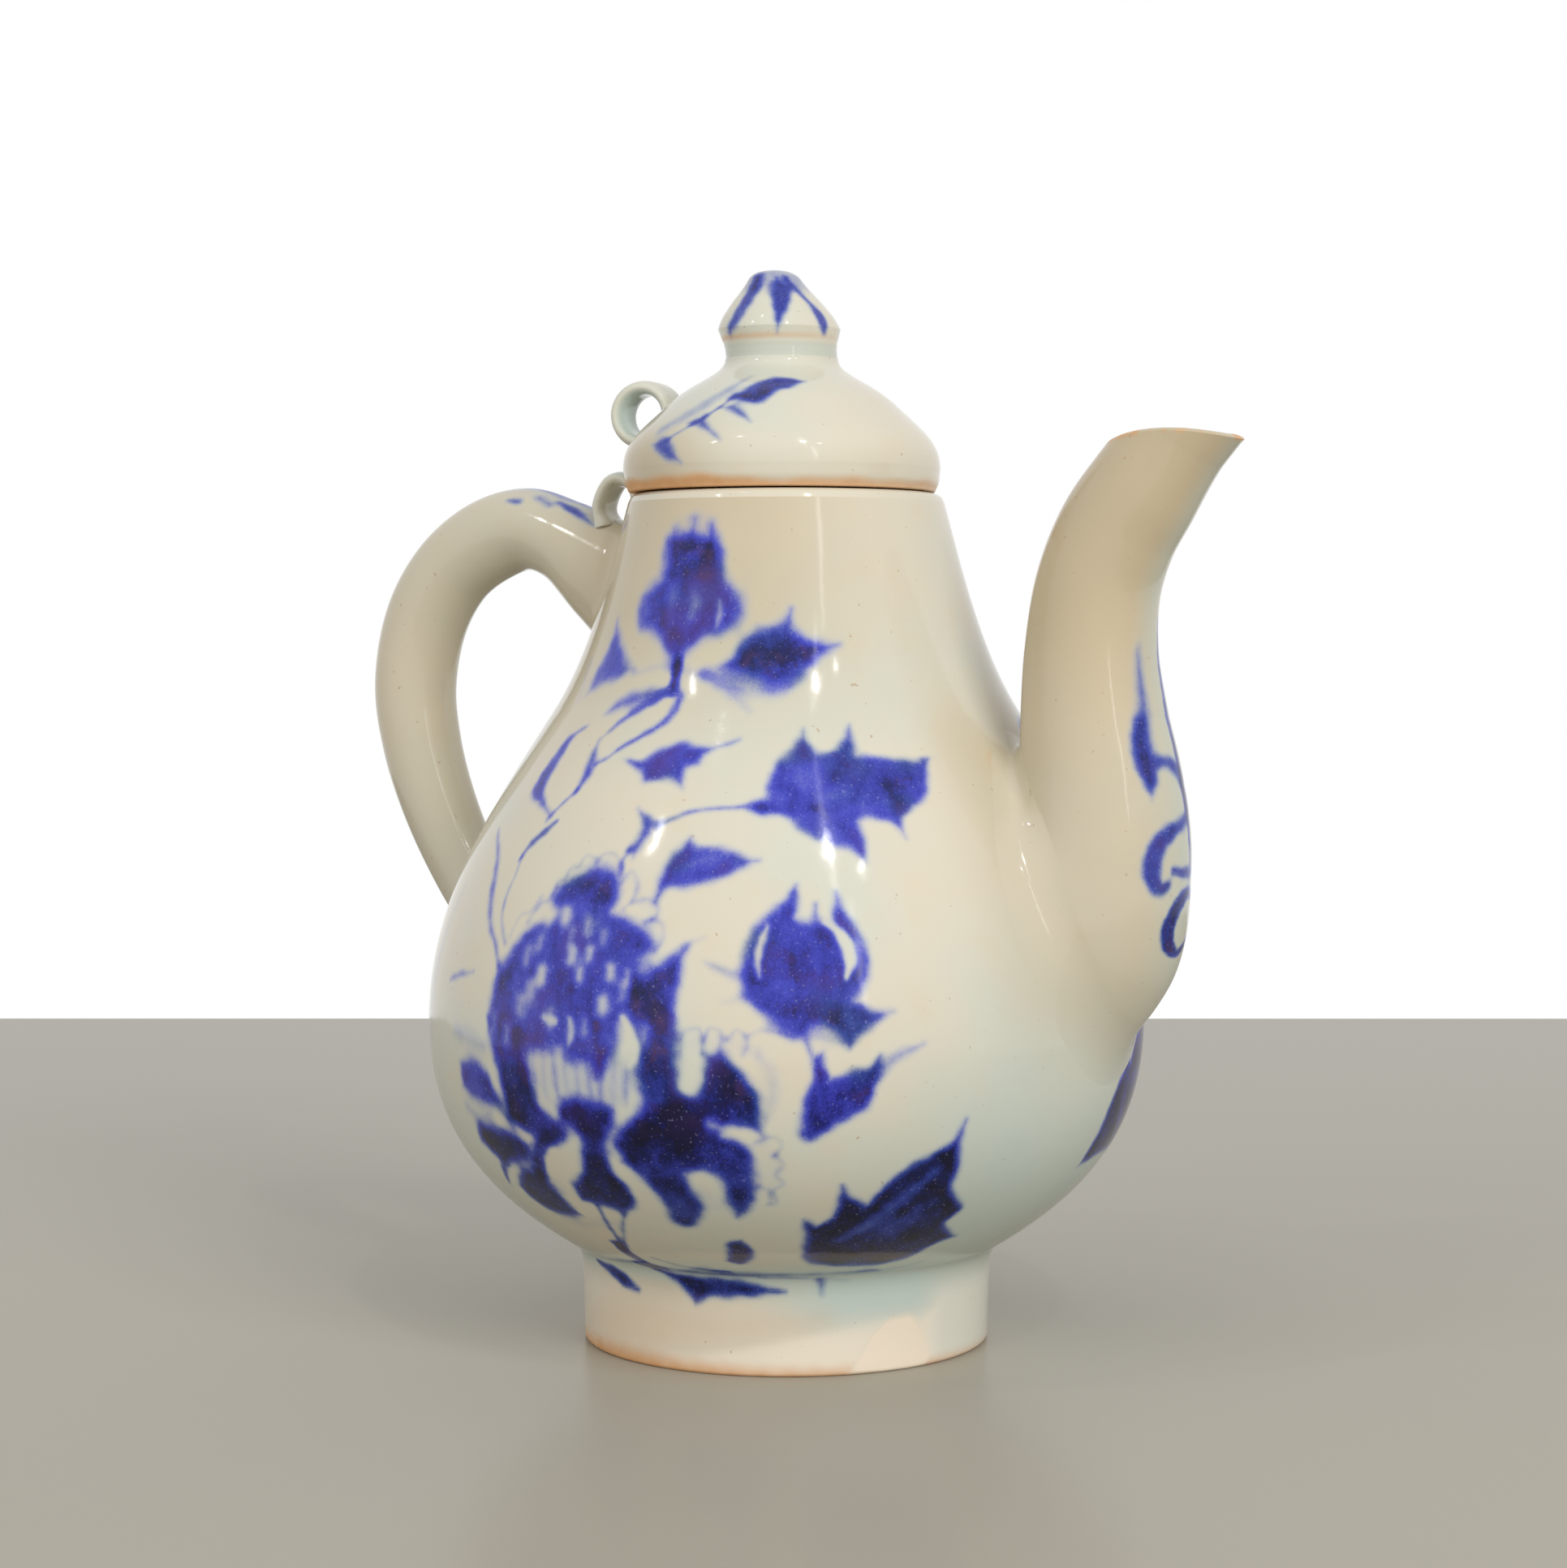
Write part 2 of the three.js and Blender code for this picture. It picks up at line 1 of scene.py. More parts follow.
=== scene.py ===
# Pear-shaped porcelain teapot painted in cobalt blue, at the solids' own sizes and places.
# The painting is drawn as brush marks, in degrees round the pot and millimetres of height.
# Millimetres in here, metres in the scene. The spout points to +X and the handle to -X.

from math import atan, atan2, cos, pi, radians, sin, tan

import bpy
import numpy as np
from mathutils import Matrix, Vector


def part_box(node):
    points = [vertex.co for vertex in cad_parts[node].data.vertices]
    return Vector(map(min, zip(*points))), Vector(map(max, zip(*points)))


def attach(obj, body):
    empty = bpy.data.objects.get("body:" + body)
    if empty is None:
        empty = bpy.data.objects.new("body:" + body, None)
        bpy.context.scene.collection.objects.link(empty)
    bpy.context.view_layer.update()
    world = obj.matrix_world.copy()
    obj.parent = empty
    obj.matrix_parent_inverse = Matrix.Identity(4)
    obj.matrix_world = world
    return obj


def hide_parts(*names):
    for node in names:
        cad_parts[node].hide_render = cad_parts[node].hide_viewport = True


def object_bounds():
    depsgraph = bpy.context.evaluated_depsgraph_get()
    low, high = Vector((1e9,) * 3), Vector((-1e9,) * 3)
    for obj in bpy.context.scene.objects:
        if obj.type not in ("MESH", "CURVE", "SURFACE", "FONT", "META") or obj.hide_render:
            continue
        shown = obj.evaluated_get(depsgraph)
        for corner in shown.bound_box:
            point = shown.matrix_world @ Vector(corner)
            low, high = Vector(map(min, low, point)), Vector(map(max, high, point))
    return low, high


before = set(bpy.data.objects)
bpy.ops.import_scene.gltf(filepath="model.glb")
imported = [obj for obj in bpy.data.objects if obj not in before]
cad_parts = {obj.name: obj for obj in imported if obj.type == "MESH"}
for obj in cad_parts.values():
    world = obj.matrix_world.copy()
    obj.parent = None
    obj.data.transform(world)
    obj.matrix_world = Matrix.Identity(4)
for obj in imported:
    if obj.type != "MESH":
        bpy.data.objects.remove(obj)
load_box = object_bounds()

MM = 0.001
AXIS_X = sum(corner.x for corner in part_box("body")) / 2 / MM  # the pot's own axis

# Between the pieces. Luted joints are gaps in the solids, and slip covers them here.
SEAM = 0.3
SINK = 0.08  # how far a slip fillet's edge dips into the pot's skin
FLANGE_CLEARANCE = 1.5

# Foot ring
FOOT_RADIUS = 34.1
FOOT_HEIGHT = 15.7
FOOT_FLARE = 0.5
FOOT_THICKNESS = 4.4
FOOT_EDGE = 0.7
FOOT_FILLET = 3.0  # slip where the foot meets the belly
RECESS_HEIGHT = 9.6

# Pot
BELLY_RADIUS = 60.2
BELLY_HEIGHT = 54.0
SHOULDER_RADIUS = 39.0
SHOULDER_HEIGHT = 106.0
SHOULDER_LEAN = 32.5
NECK_LEAN = 15.0
FOOT_SPREAD = 60.0
RIM_RADIUS = 26.6
RIM_HEIGHT = 142.1
RIM_ROUNDING = 1.5
RIM_THICKNESS = 3.7
WALL = 4.0
FLOOR_THICKNESS = 5.0

# Spout. Stations hold the place across, the height, the half depth and the half width.
SPOUT_WALL = 2.6
SPOUT_LIP_RISE = 8.0
SPOUT_LIP_DROP = 0.011
SPOUT_BLEND = 7.5
SPOUT_STATIONS = (
    (32.9, 64.0, 25.0, 17.0), (44.9, 69.0, 24.0, 17.0), (53.4, 75.5, 20.5, 16.0),
    (57.7, 84.0, 15.4, 13.8), (58.1, 94.0, 13.4, 12.6), (56.9, 104.5, 12.0, 11.6),
    (56.3, 115.5, 10.8, 10.6), (57.4, 126.0, 10.1, 9.9), (60.6, 134.5, 9.7, 9.3),
    (65.3, 141.5, 9.2, 8.8), (71.2, 149.6, 8.2, 8.0),
)
LIP_START = 0.85  # share of the spout's length from which its lip dips
RUN_ON = 100.0  # millimetres for one share of the spout's length

# Handle
HANDLE_BLEND = 4.0
HANDLE_STATIONS = (
    (-24.0, 121.9, 11.8, 9.0), (-35.2, 129.3, 9.6, 8.2), (-44.4, 134.9, 7.3, 7.4),
    (-52.3, 137.2, 7.2, 7.2), (-60.4, 135.4, 7.5, 7.2), (-68.7, 130.1, 7.4, 7.2),
    (-74.7, 121.4, 7.5, 7.2), (-77.3, 109.5, 7.4, 7.2), (-75.9, 99.0, 7.1, 7.0),
    (-72.7, 89.5, 6.7, 6.8), (-67.9, 80.0, 6.3, 6.6), (-61.1, 70.5, 6.3, 6.6),
    (-51.1, 61.0, 6.6, 6.8),
)

# Lid and flange
LID_SHIFT = -0.9
LID_RADIUS = 26.7
LID_EDGE_RADIUS = 25.9
LID_EDGE_ROUNDING = 0.4
LID_BULGE_HEIGHT = 3.8
LID_HAUNCH_RADIUS = 19.2
LID_HAUNCH_HEIGHT = 14.6
LID_HAUNCH_LEAN = 47.0
LID_CROWN_RADIUS = 9.5
LID_CROWN_HEIGHT = 22.3
LID_CROWN_LEAN = 4.0
LID_WALL = 3.0
LID_BASE = RIM_HEIGHT + SEAM
FLANGE_DEPTH = 7.0
FLANGE_THICKNESS = 3.0
FLANGE_EDGE = 0.8

# Knob
COLLAR_RADIUS = 9.3
COLLAR_HEIGHT = 3.4
BUD_RADIUS = 10.3
BUD_HEIGHT = 11.3
BUD_SHOULDER = 4.7
BUD_OUTLINE = (  # shares of the radius, and of the height over the shoulder
    (1, 0), (0.975, 0.07), (0.905, 0.21), (0.815, 0.34), (0.71, 0.48), (0.59, 0.62), (0.49, 0.75),
    (0.395, 0.885), (0.29, 0.955), (0.15, 0.99), (0.002, 1),
)
KNOB_FILLET = 1.3  # height of slip over the lid's crown
KNOB_LEAN = 6.0

# Loops for the tie
LID_LOOP_RADIUS = 4.7
LID_LOOP_THICKNESS = 2.5
LID_LOOP_WIDTH = 8.6
LID_LOOP_REACH = 4.2
LID_LOOP_PLACE = 22.7
LID_LOOP_START = -25.0
LID_LOOP_END = 287.0
LID_LOOP_TURN = 10.0
NECK_LOOP_THICKNESS = 2.5
NECK_LOOP_WIDTH = 8.0
NECK_LOOP_SPAN = 7.4
NECK_LOOP_RISE = 4.6
NECK_LOOP_TURN = 8.0

# Fineness of the meshes
POT_COLUMNS = 1080
LID_COLUMNS = 720
KNOB_COLUMNS = 360
FOOT_COLUMNS = 360
SPOUT_SIDES = 240
HANDLE_SIDES = 128
STRAP_SIDES = 64
SIDE_STEPS = (150, 160, 110)
LID_STEPS = (10, 60, 50)
LIMB_ROWS = 260
SEARCH_STEPS = 800  # along a limb, where a place on it is looked for
CURVE_STEPS = 5  # between two corners of a brush mark
AXIS_RADIUS = 0.02  # where an outline ends at the axis
STEP = 1e-4  # along a curve, for its direction

# Brush marks
EDGE_WOBBLE = 0.06  # millimetres
BLEED = 2.3  # how far the cobalt of a shape has run into the glaze
LINE_BLEED = 1.6
SHARP_BEND = 68  # degrees of turning from which a corner stays sharp
PHOTO_SIDE = 60  # degrees from +X round to the side that the turns are counted from
BACK_SIDE = 75  # the same for the spray on the other side
SHAPE_SOFT = 0.75
STROKE_SOFT = 0.6

# Glaze: how strongly each place is pooled, stained, white or worn, and where painted shade and painted light
# go
# Teal pooled glaze and painted shade low on the belly, on the right and along the left side
LOW_RIGHT_POOL_AND_SHADE = 0.85
LEFT_EDGE_POOL_AND_SHADE = 0.5
NECK_STAIN = 0.72
# Painted shade: darker beige glaze round the spout's root
ROOT_SHADE = 0.55
SPOUT_STAIN = 0.6
SPOUT_POOL = 0.5
HANDLE_STAIN = 0.5
LIMB_BLEND = 14.0  # millimetres over which a limb's glaze goes over into the pot's
FOOT_WHITE = 0.48
FOOT_POOL = 0.9
FOOT_DULL = 0.24
LID_STAIN = 0.8
COLLAR_POOL = 0.55
LIP_WEAR = 0.75
STRAP_POOL = 0.8
LID_EDGE_TURN = 120  # degrees clockwise from +X to where the lid's edge is barest


def leaning(degrees):
    return np.array([-sin(radians(degrees)), cos(radians(degrees))])


def run(start, leave, end, arrive, pull, steps):
    """Smooth run between two places, leaving and arriving along given directions."""
    start, end = np.array(start, float), np.array(end, float)
    span = np.linalg.norm(end - start)
    first = start + leave * span * pull[0]
    second = end - arrive * span * pull[1]
    t = np.linspace(0, 1, steps + 1)[:, None]
    return (1 - t) ** 3 * start + 3 * (1 - t) ** 2 * t * first + 3 * (1 - t) * t**2 * second + t**3 * end


def offset(outline, distance):
    """Outline moved off itself to its left."""
    outline = np.asarray(outline, float)
    padded = np.vstack([outline[:1], outline, outline[-1:]])
    along = padded[2:] - padded[:-2]
    along /= np.linalg.norm(along, axis=1)[:, None]
    return outline + distance * np.stack([-along[:, 1], along[:, 0]], 1)


def catmull(points, t):
    """Centripetal spline through points at the places t of 0 to 1."""
    points = np.asarray(points, float)
    last = len(points) - 1
    ends = (2 * points[0] - points[1], 2 * points[-1] - points[-2])
    padded = np.vstack([ends[0], points, ends[1]])
    place = np.clip(np.atleast_1d(np.asarray(t, float)), 0, 1) * last
    i = np.clip(np.floor(place).astype(int), 0, last - 1)
    w = (place - i)[:, None]
    p0, p1, p2, p3 = (padded[i + k] for k in range(4))
    gap = [((b - a) ** 2).sum(1)[:, None] ** 0.25 for a, b in ((p0, p1), (p1, p2), (p2, p3))]
    middle = np.where(gap[1] < 1e-4, 1.0, gap[1])
    before = np.where(gap[0] < 1e-4, middle, gap[0])
    after = np.where(gap[2] < 1e-4, middle, gap[2])
    leave = ((p1 - p0) / before - (p2 - p0) / (before + middle) + (p2 - p1) / middle) * middle
    arrive = ((p2 - p1) / middle - (p3 - p1) / (middle + after) + (p3 - p2) / after) * middle
    return (
        p1
        + leave * w
        + (-3 * p1 + 3 * p2 - 2 * leave - arrive) * w**2
        + (2 * p1 - 2 * p2 + leave + arrive) * w**3
    )


def smooth(points, steps):
    """The same outline with a given number of steps between each two points."""
    return catmull(points, np.linspace(0, 1, (len(points) - 1) * steps + 1))


def arc(centre, radius, start, end, steps):
    angle = np.radians(np.linspace(start, end, steps + 1))
    return np.stack([centre[0] + radius * np.cos(angle), centre[1] + radius * np.sin(angle)], 1)


def line(start, end, steps):
    t = np.linspace(0, 1, steps + 1)[:, None]
    return np.array(start, float) * (1 - t) + np.array(end, float) * t


def bend_through(start, corner, end, steps):
    """Fillet that leaves a start for a corner and comes in to an end from it."""
    t = np.linspace(0, 1, steps + 1)[:, None]
    return (1 - t) ** 2 * np.array(start) + 2 * t * (1 - t) * np.array(corner) + t**2 * np.array(end)


def joined(*runs):
    """Runs laid end to end, each without the point that it shares with the one before."""
    kept = [np.asarray(runs[0], float)]
    for part in runs[1:]:
        part = np.asarray(part, float)
        shared = np.linalg.norm(part[0] - kept[-1][-1]) < 1e-6
        kept.append(part[1:] if shared else part)
    return np.vstack(kept)


# Outline of the pot, from the crease over the foot up to the rim
CREASE_RADIUS = FOOT_RADIUS + FOOT_FLARE
CREASE = (CREASE_RADIUS, FOOT_HEIGHT)
BELLY = (BELLY_RADIUS, BELLY_HEIGHT)
SHOULDER = (SHOULDER_RADIUS, SHOULDER_HEIGHT)
RIM_ROOT = (RIM_RADIUS, RIM_HEIGHT - RIM_ROUNDING)
MOUTH_RADIUS = RIM_RADIUS - RIM_THICKNESS


def pot_side(lower, middle, upper):
    return joined(
        run(CREASE, leaning(-FOOT_SPREAD), BELLY, leaning(0), (0.38, 0.41), lower),
        run(BELLY, leaning(0), SHOULDER, leaning(SHOULDER_LEAN), (0.36, 0.35), middle),
        run(SHOULDER, leaning(SHOULDER_LEAN), RIM_ROOT, leaning(NECK_LEAN), (0.31, 0.32), upper),
    )


SIDE = pot_side(*SIDE_STEPS)


def pot_radius(z):
    return np.interp(z, SIDE[:, 1], SIDE[:, 0])


def underside_height(r):
    return RECESS_HEIGHT + (FOOT_HEIGHT - RECESS_HEIGHT) * (r / CREASE_RADIUS) ** 3


MARKS = ("cobalt", "clay", "pool", "stain", "pale_and_painted_light")  # painting, bare clay, pooled glaze with painted shade and light, stained glaze with painted shade, and white glaze with painted light


class Skin:
    """Mesh made of grids of points, each with its own chart of the bake map."""

    def __init__(self):
        self.points, self.faces, self.charts, self.count = [], [], [], 0
        self.marks = {name: [] for name in MARKS}

    def add(self, grid, chart=(0.0, 1.0), round_columns=False, **marks):
        """Grid of (rows, columns, 3) in a band of the bake map. The last row can close on the first."""
        for name in MARKS:
            self.marks[name].append(np.broadcast_to(marks.get(name, 0.0), grid.shape[:2]).ravel())
        rows, columns = grid.shape[:2]
        below = np.arange(rows if round_columns else rows - 1)
        left = np.arange(columns)
        i, k = (a.ravel() for a in np.meshgrid(below, left, indexing="ij"))
        up, right = (i + 1) % rows, (k + 1) % columns
        corner = np.stack([i * columns + k, i * columns + right, up * columns + right, up * columns + k], 1)
        u = np.stack([k, k + 1, k + 1, k], 1) / len(left)
        v = np.stack([i, i, i + 1, i + 1], 1) / len(below)
        low, high = chart
        self.charts.append(np.stack([u, low + v * (high - low)], 2))
        self.faces.append(corner + self.count)
        self.points.append(grid.reshape(-1, 3))
        self.count += rows * columns

    def object(self, name, shift=0.0):
        points = np.vstack(self.points) + (AXIS_X + shift, 0, 0)
        points = np.clip(points, *(np.array(corner) / MM for corner in load_box))
        faces = np.vstack(self.faces).astype(np.int32)
        mesh = bpy.data.meshes.new(name)
        mesh.vertices.add(len(points))
        mesh.vertices.foreach_set("co", (points * MM).astype(np.float32).ravel())
        mesh.loops.add(faces.size)
        mesh.loops.foreach_set("vertex_index", faces.ravel())
        mesh.polygons.add(len(faces))
        mesh.polygons.foreach_set("loop_start", np.arange(0, faces.size, 4, dtype=np.int32))
        layer = mesh.uv_layers.new(name="OFBake")
        layer.data.foreach_set("uv", np.vstack(self.charts).astype(np.float32).ravel())
        mesh.update(calc_edges=True)
        for mark, values in self.marks.items():
            held = mesh.attributes.new(mark, "FLOAT", "POINT")
            held.data.foreach_set("value", np.concatenate(values).astype(np.float32))
        mesh.polygons.foreach_set("use_smooth", np.ones(len(mesh.polygons), bool))
        made = bpy.data.objects.new(name, mesh)
        bpy.context.scene.collection.objects.link(made)
        return made


def turned(outline, columns):
    """Grid of an outline turned round the pot's axis; the azimuth starts at the handle."""
    turn = np.linspace(-pi, pi, columns, endpoint=False)
    r, z = outline[:, 0][:, None], outline[:, 1][:, None]
    return np.stack([r * np.cos(turn), r * np.sin(turn), z + 0 * turn], 2)


def azimuths(grid):
    return np.degrees(np.arctan2(grid[..., 1], grid[..., 0]))


def smoothstep(value):
    share = np.clip(value, 0, 1)
    return share * share * (3 - 2 * share)


def fade(value, nought, one):
    """Smooth change from 0, where the value is at nought, to 1, where it is at one."""
    return smoothstep((value - nought) / (one - nought))


def path_lengths(line):
    return np.concatenate([[0], np.cumsum(np.linalg.norm(np.diff(line, axis=0), axis=1))])


class Brush:
    """Cobalt laid on a turned surface. Places are degrees of turn and millimetres of height."""

    def __init__(self, turn, height, outline, lengths=None):
        self.turn, self.height = turn.ravel(), height.ravel()
        self.radii, self.heights = outline[:, 0], outline[:, 1]
        self.lengths = path_lengths(outline) if lengths is None else lengths
        self.bare = np.ones(self.turn.shape)
        self.form = turn.shape

    @property
    def uncovered(self):
        """Share that no ink covers, on the places' own grid."""
        return self.bare.reshape(self.form)

    def flat(self, turn, height, middle):
        """Places on the unrolled surface, in millimetres."""
        x = np.radians(turn - middle) * np.interp(height, self.heights, self.radii)
        return x, np.interp(height, self.heights, self.lengths)

    def near(self, turns, heights, width):
        """Corners of the mesh near a mark, on the unrolled surface, and the mark itself there."""
        reach = np.degrees(width / np.interp(heights, self.heights, self.radii).min())
        found = np.flatnonzero(
            (self.turn > turns.min() - reach)
            & (self.turn < turns.max() + reach)
            & (self.height > heights.min() - width)
            & (self.height < heights.max() + width)
        )
        middle = (turns.min() + turns.max()) / 2
        x, y = self.flat(self.turn[found], self.height[found], middle)
        return found, x, y, np.stack(self.flat(turns, heights, middle), 1)

    @staticmethod
    def edge(x, y, away):
        """Distance with the unsteady edge of a brush mark."""
        waves = np.sin(1.3 * x + 0.7 * y) + np.sin(0.9 * y - 1.6 * x + 2) + np.sin(2.3 * y + x)
        return away + EDGE_WOBBLE * waves

    def shape(self, ink, *places, soft=SHAPE_SOFT):
        """Filled shape through places; sharp turns stay sharp."""
        places = np.array(places, float)
        found, x, y, corners = self.near(places[:, 0], places[:, 1], 3 * soft)
        away, inside = np.full(len(found), 1e9), np.zeros(len(found), bool)
        rim = closed_curve(corners)
        for (ax, ay), (bx, by) in zip(rim[:-1], rim[1:]):
            away = np.minimum(away, to_segment(x, y, ax, ay, bx, by)[0])
            if ay != by:
                inside ^= ((ay > y) != (by > y)) & (x < (bx - ax) * (y - ay) / (by - ay) + ax)
        self.mark(found, self.edge(x, y, np.where(inside, -away, away)), ink, soft * BLEED)

    def stroke(self, ink, *places, soft=STROKE_SOFT):
        """Line through places that each have a width of their own."""
        places = np.array(places if len(places) > 1 else places * 2, float)
        found, x, y, corners = self.near(places[:, 0], places[:, 1], places[:, 2].max() + 3 * soft)
        path = smooth(np.column_stack([corners, places[:, 2] / 2]), CURVE_STEPS)
        away = np.full(len(found), 1e9)
        for (ax, ay, aw), (bx, by, bw) in zip(path[:-1], path[1:]):
            distance, share = to_segment(x, y, ax, ay, bx, by)
            away = np.minimum(away, distance - aw - (bw - aw) * share)
        self.mark(found, self.edge(x, y, away), ink, soft * LINE_BLEED)

    def mark(self, found, away, ink, soft):
        """More ink for a positive value; a negative one lifts ink that is already there."""
        share = smoothstep(0.5 - away / (2 * soft))
        if ink > 0:
            self.bare[found] *= 1 - ink * share
        else:
            self.bare[found] = 1 - (1 - self.bare[found]) * (1 + ink * share)


def ink_on_both_sides(azimuth, height, outline, paints, photo_side=()):
    """Share of ink on a turned surface, painted on the photographed side and again on the back."""
    ink = np.zeros(azimuth.shape)
    sides = ((azimuth + PHOTO_SIDE, (*paints, *photo_side)), (BACK_SIDE - azimuth, paints))
    for turn, side_paints in sides:
        brush = Brush(turn, height, outline)
        for paint in side_paints:
            paint(brush)
        ink = 1 - (1 - ink) * brush.uncovered
    return ink


def ink_on_photo_side(azimuth, height, outline, paint):
    brush = Brush(azimuth + PHOTO_SIDE, height, outline)
    paint(brush)
    return 1 - brush.uncovered


def to_segment(x, y, ax, ay, bx, by):
    """Distance from places to a straight piece, and the share along it of the nearest point."""
    dx, dy = bx - ax, by - ay
    share = np.clip(((x - ax) * dx + (y - ay) * dy) / max(dx * dx + dy * dy, 1e-9), 0, 1)
    return np.hypot(x - ax - share * dx, y - ay - share * dy), share


def closed_curve(corners):
    """Closed smooth line through corners, with the sharp ones kept sharp."""
    arrive = corners - np.roll(corners, 1, 0)
    leave = np.roll(corners, -1, 0) - corners
    bend = np.arctan2(
        arrive[:, 0] * leave[:, 1] - arrive[:, 1] * leave[:, 0], (arrive * leave).sum(1)
    )
    ring = np.repeat(corners, np.where(np.abs(bend) > radians(SHARP_BEND), 2, 1), 0)
    return smooth(np.vstack([ring[-1:], ring, ring[:2]]), CURVE_STEPS)[CURVE_STEPS:-CURVE_STEPS]


def paint_neck_bud(brush):
    brush.shape(
        0.77, (-42.5, 134), (-40.5, 135.6), (-37.5, 134.6), (-33.5, 134.9), (-32.5, 137), (-31, 134.9),
        (-26.5, 134.4), (-25.5, 136), (-23.5, 134.3), (-21, 132), (-20, 129.5), (-18, 127), (-13.5, 124.3),
        (-13, 122), (-14.5, 120), (-18, 118.5), (-23, 117.8), (-28, 115.2), (-29.3, 113.5), (-31.5, 113.5),
        (-35, 116.2), (-40, 118.5), (-46.5, 120), (-48.5, 121.7), (-48.7, 124.3), (-45, 126.5), (-42, 128.3),
        (-43.5, 132), soft=1.05,
    )
    brush.shape(
        0.45, (-41, 134), (-31, 135), (-22.5, 133), (-21.5, 129), (-31, 127.6), (-41, 128.6), soft=1.2,
    )
    brush.stroke(-0.3, (-28.3, 125.8, 1.2), (-27.6, 123.6, 2.6), (-28, 121.6, 1.2), soft=1.1)
    brush.stroke(-0.26, (-36.5, 126.4, 1), (-36.2, 124, 2.2), (-35.8, 122, 1), soft=1.1)
    brush.stroke(-0.5, (-19.8, 124, 0.7), (-19.5, 121.8, 1.1), (-19.9, 120, 0.6))
    brush.stroke(-0.25, (-46.2, 123.6, 1), (-45.4, 122, 1.6), soft=0.8)
    brush.stroke(-0.25, (-41.3, 131.6, 1), (-40.8, 129.6, 1.4), soft=0.8)
    brush.stroke(0.2, (-38, 137, 1.6), (-31, 137.6, 2), (-25, 137, 1.6), soft=1.2)
    brush.stroke(0.75, (-29.8, 114.5, 1.5), (-29.4, 111.5, 1.3), (-29.2, 109.4, 1.6))
    brush.stroke(0.14, (-48, 128, 2), (-47, 123, 2.4), (-46, 119, 1.6), soft=1.4)
    brush.stroke(0.14, (-12, 128, 1.6), (-11.5, 123.5, 2), (-13.5, 118.5, 1.6), soft=1.4)


def paint_neck_leaves(brush):
    brush.shape(
        0.8, (-16.6, 113.5), (-13.7, 115.8), (-9.6, 118.8), (-5, 119.9), (-0.8, 120.7), (1.3, 122.4),
        (2, 119.8), (4.3, 118.4), (9, 117.4), (14, 116.9), (10, 115.3), (5.8, 113.2), (1.6, 111.4),
        (-2.4, 110.4), (-7.3, 111.5), (-12.4, 112.4), soft=0.9,
    )
    brush.stroke(0.3, (-9, 116, 3), (0, 117, 4), (6, 116, 2.5), soft=1.4)
    brush.stroke(0.4, (-20, 112.5, 2.4), (-12, 111, 3.8), (-2, 110, 3.4), (4, 111.5, 1.6), soft=1.1)
    brush.stroke(0.28, (-21.5, 112, 1.4), (-14, 109.5, 2.6), (-8.5, 106.5, 1), soft=0.9)
    brush.stroke(0.25, (-29, 112.8, 2), (-21, 112, 2), soft=0.9)
    brush.shape(
        0.66, (-58.8, 120.8), (-52.5, 117.4), (-44.8, 113), (-47.7, 111.6), (-54, 110.4), (-60.2, 109),
        (-61, 111.7), (-59.6, 115.2), (-58.9, 118.2), soft=0.9,
    )
    brush.stroke(0.22, (-68, 114, 2.4), (-64, 108, 2.4), soft=1.2)
    brush.stroke(0.25, (-43, 112.4, 1.6), (-35, 113.4, 1.2), (-30.5, 113, 1), soft=0.8)
    brush.shape(
        0.58, (-29.5, 110.4), (-35.3, 110), (-40.6, 109.6), (-45.5, 108.2), (-48, 105.8), (-41.2, 106.8),
        (-35.7, 107.8), soft=0.8,
    )
    brush.stroke(0.55, (-30.6, 109.4, 2), (-36, 107.2, 1.9), (-41, 105, 1.4), (-45, 102.2, 0.5))


def paint_upper_stem(brush):
    brush.stroke(
        0.62, (-29.8, 113.5, 1.2), (-28.6, 110, 1.6), (-26.8, 108.6, 1.9), (-27.4, 106.4, 1.9),
        (-29.5, 104.4, 1.7), (-33.8, 102.4, 1.2), (-38, 100.7, 0.9), (-40.7, 99, 0.7), (-43.2, 98, 0.6),
    )
    brush.shape(
        0.62, (-45.8, 101.6), (-43.6, 98.5), (-43.3, 96), (-45.3, 93.4), (-45.9, 96), (-46.3, 98.4), soft=0.6
    )
    brush.stroke(0.5, (-45.5, 93.8, 1), (-47.8, 91.7, 0.8), (-49.4, 90.2, 0.8), (-50.3, 89, 0.9), soft=0.5)
    brush.stroke(0.6, (-47.2, 89, 0.8), (-49.7, 87, 1.7), (-52, 85, 1.4), (-53.6, 82.6, 0.5), soft=0.5)
    brush.stroke(
        0.42, (-53, 83, 0.7), (-52.8, 80.2, 0.7), (-53.3, 77.4, 0.8), (-53, 74.8, 0.8), (-52, 72.5, 0.9),
        (-50, 70, 1.1), soft=0.5,
    )
    brush.shape(
        0.7, (-52.5, 103.8), (-58, 102.2), (-59.6, 100), (-60.6, 97.4), (-61.3, 94.7), (-60.8, 92.6),
        (-56, 91.4), (-49.6, 89.6), (-54.9, 92.8), (-56.5, 94.7), (-56.3, 97), (-56, 99.5), (-55.6, 101.8),
        soft=0.6,
    )
    brush.stroke(
        0.5, (-67.5, 86.8, 0.8), (-61.5, 82.6, 1.6), (-58.8, 78.3, 2.1), (-57.2, 75.2, 1.9),
        (-55.3, 72.2, 1.5), (-52.8, 69.9, 1.2), (-50.5, 66.5, 1), soft=0.6,
    )
    brush.stroke(0.2, (-72, 77, 3), (-75.5, 66, 4), (-77, 52, 3.5), soft=1.3)
    brush.stroke(0.5, (-66, 62.8, 1), (-63, 63.8, 1.5), (-57.5, 64.8, 0.6))


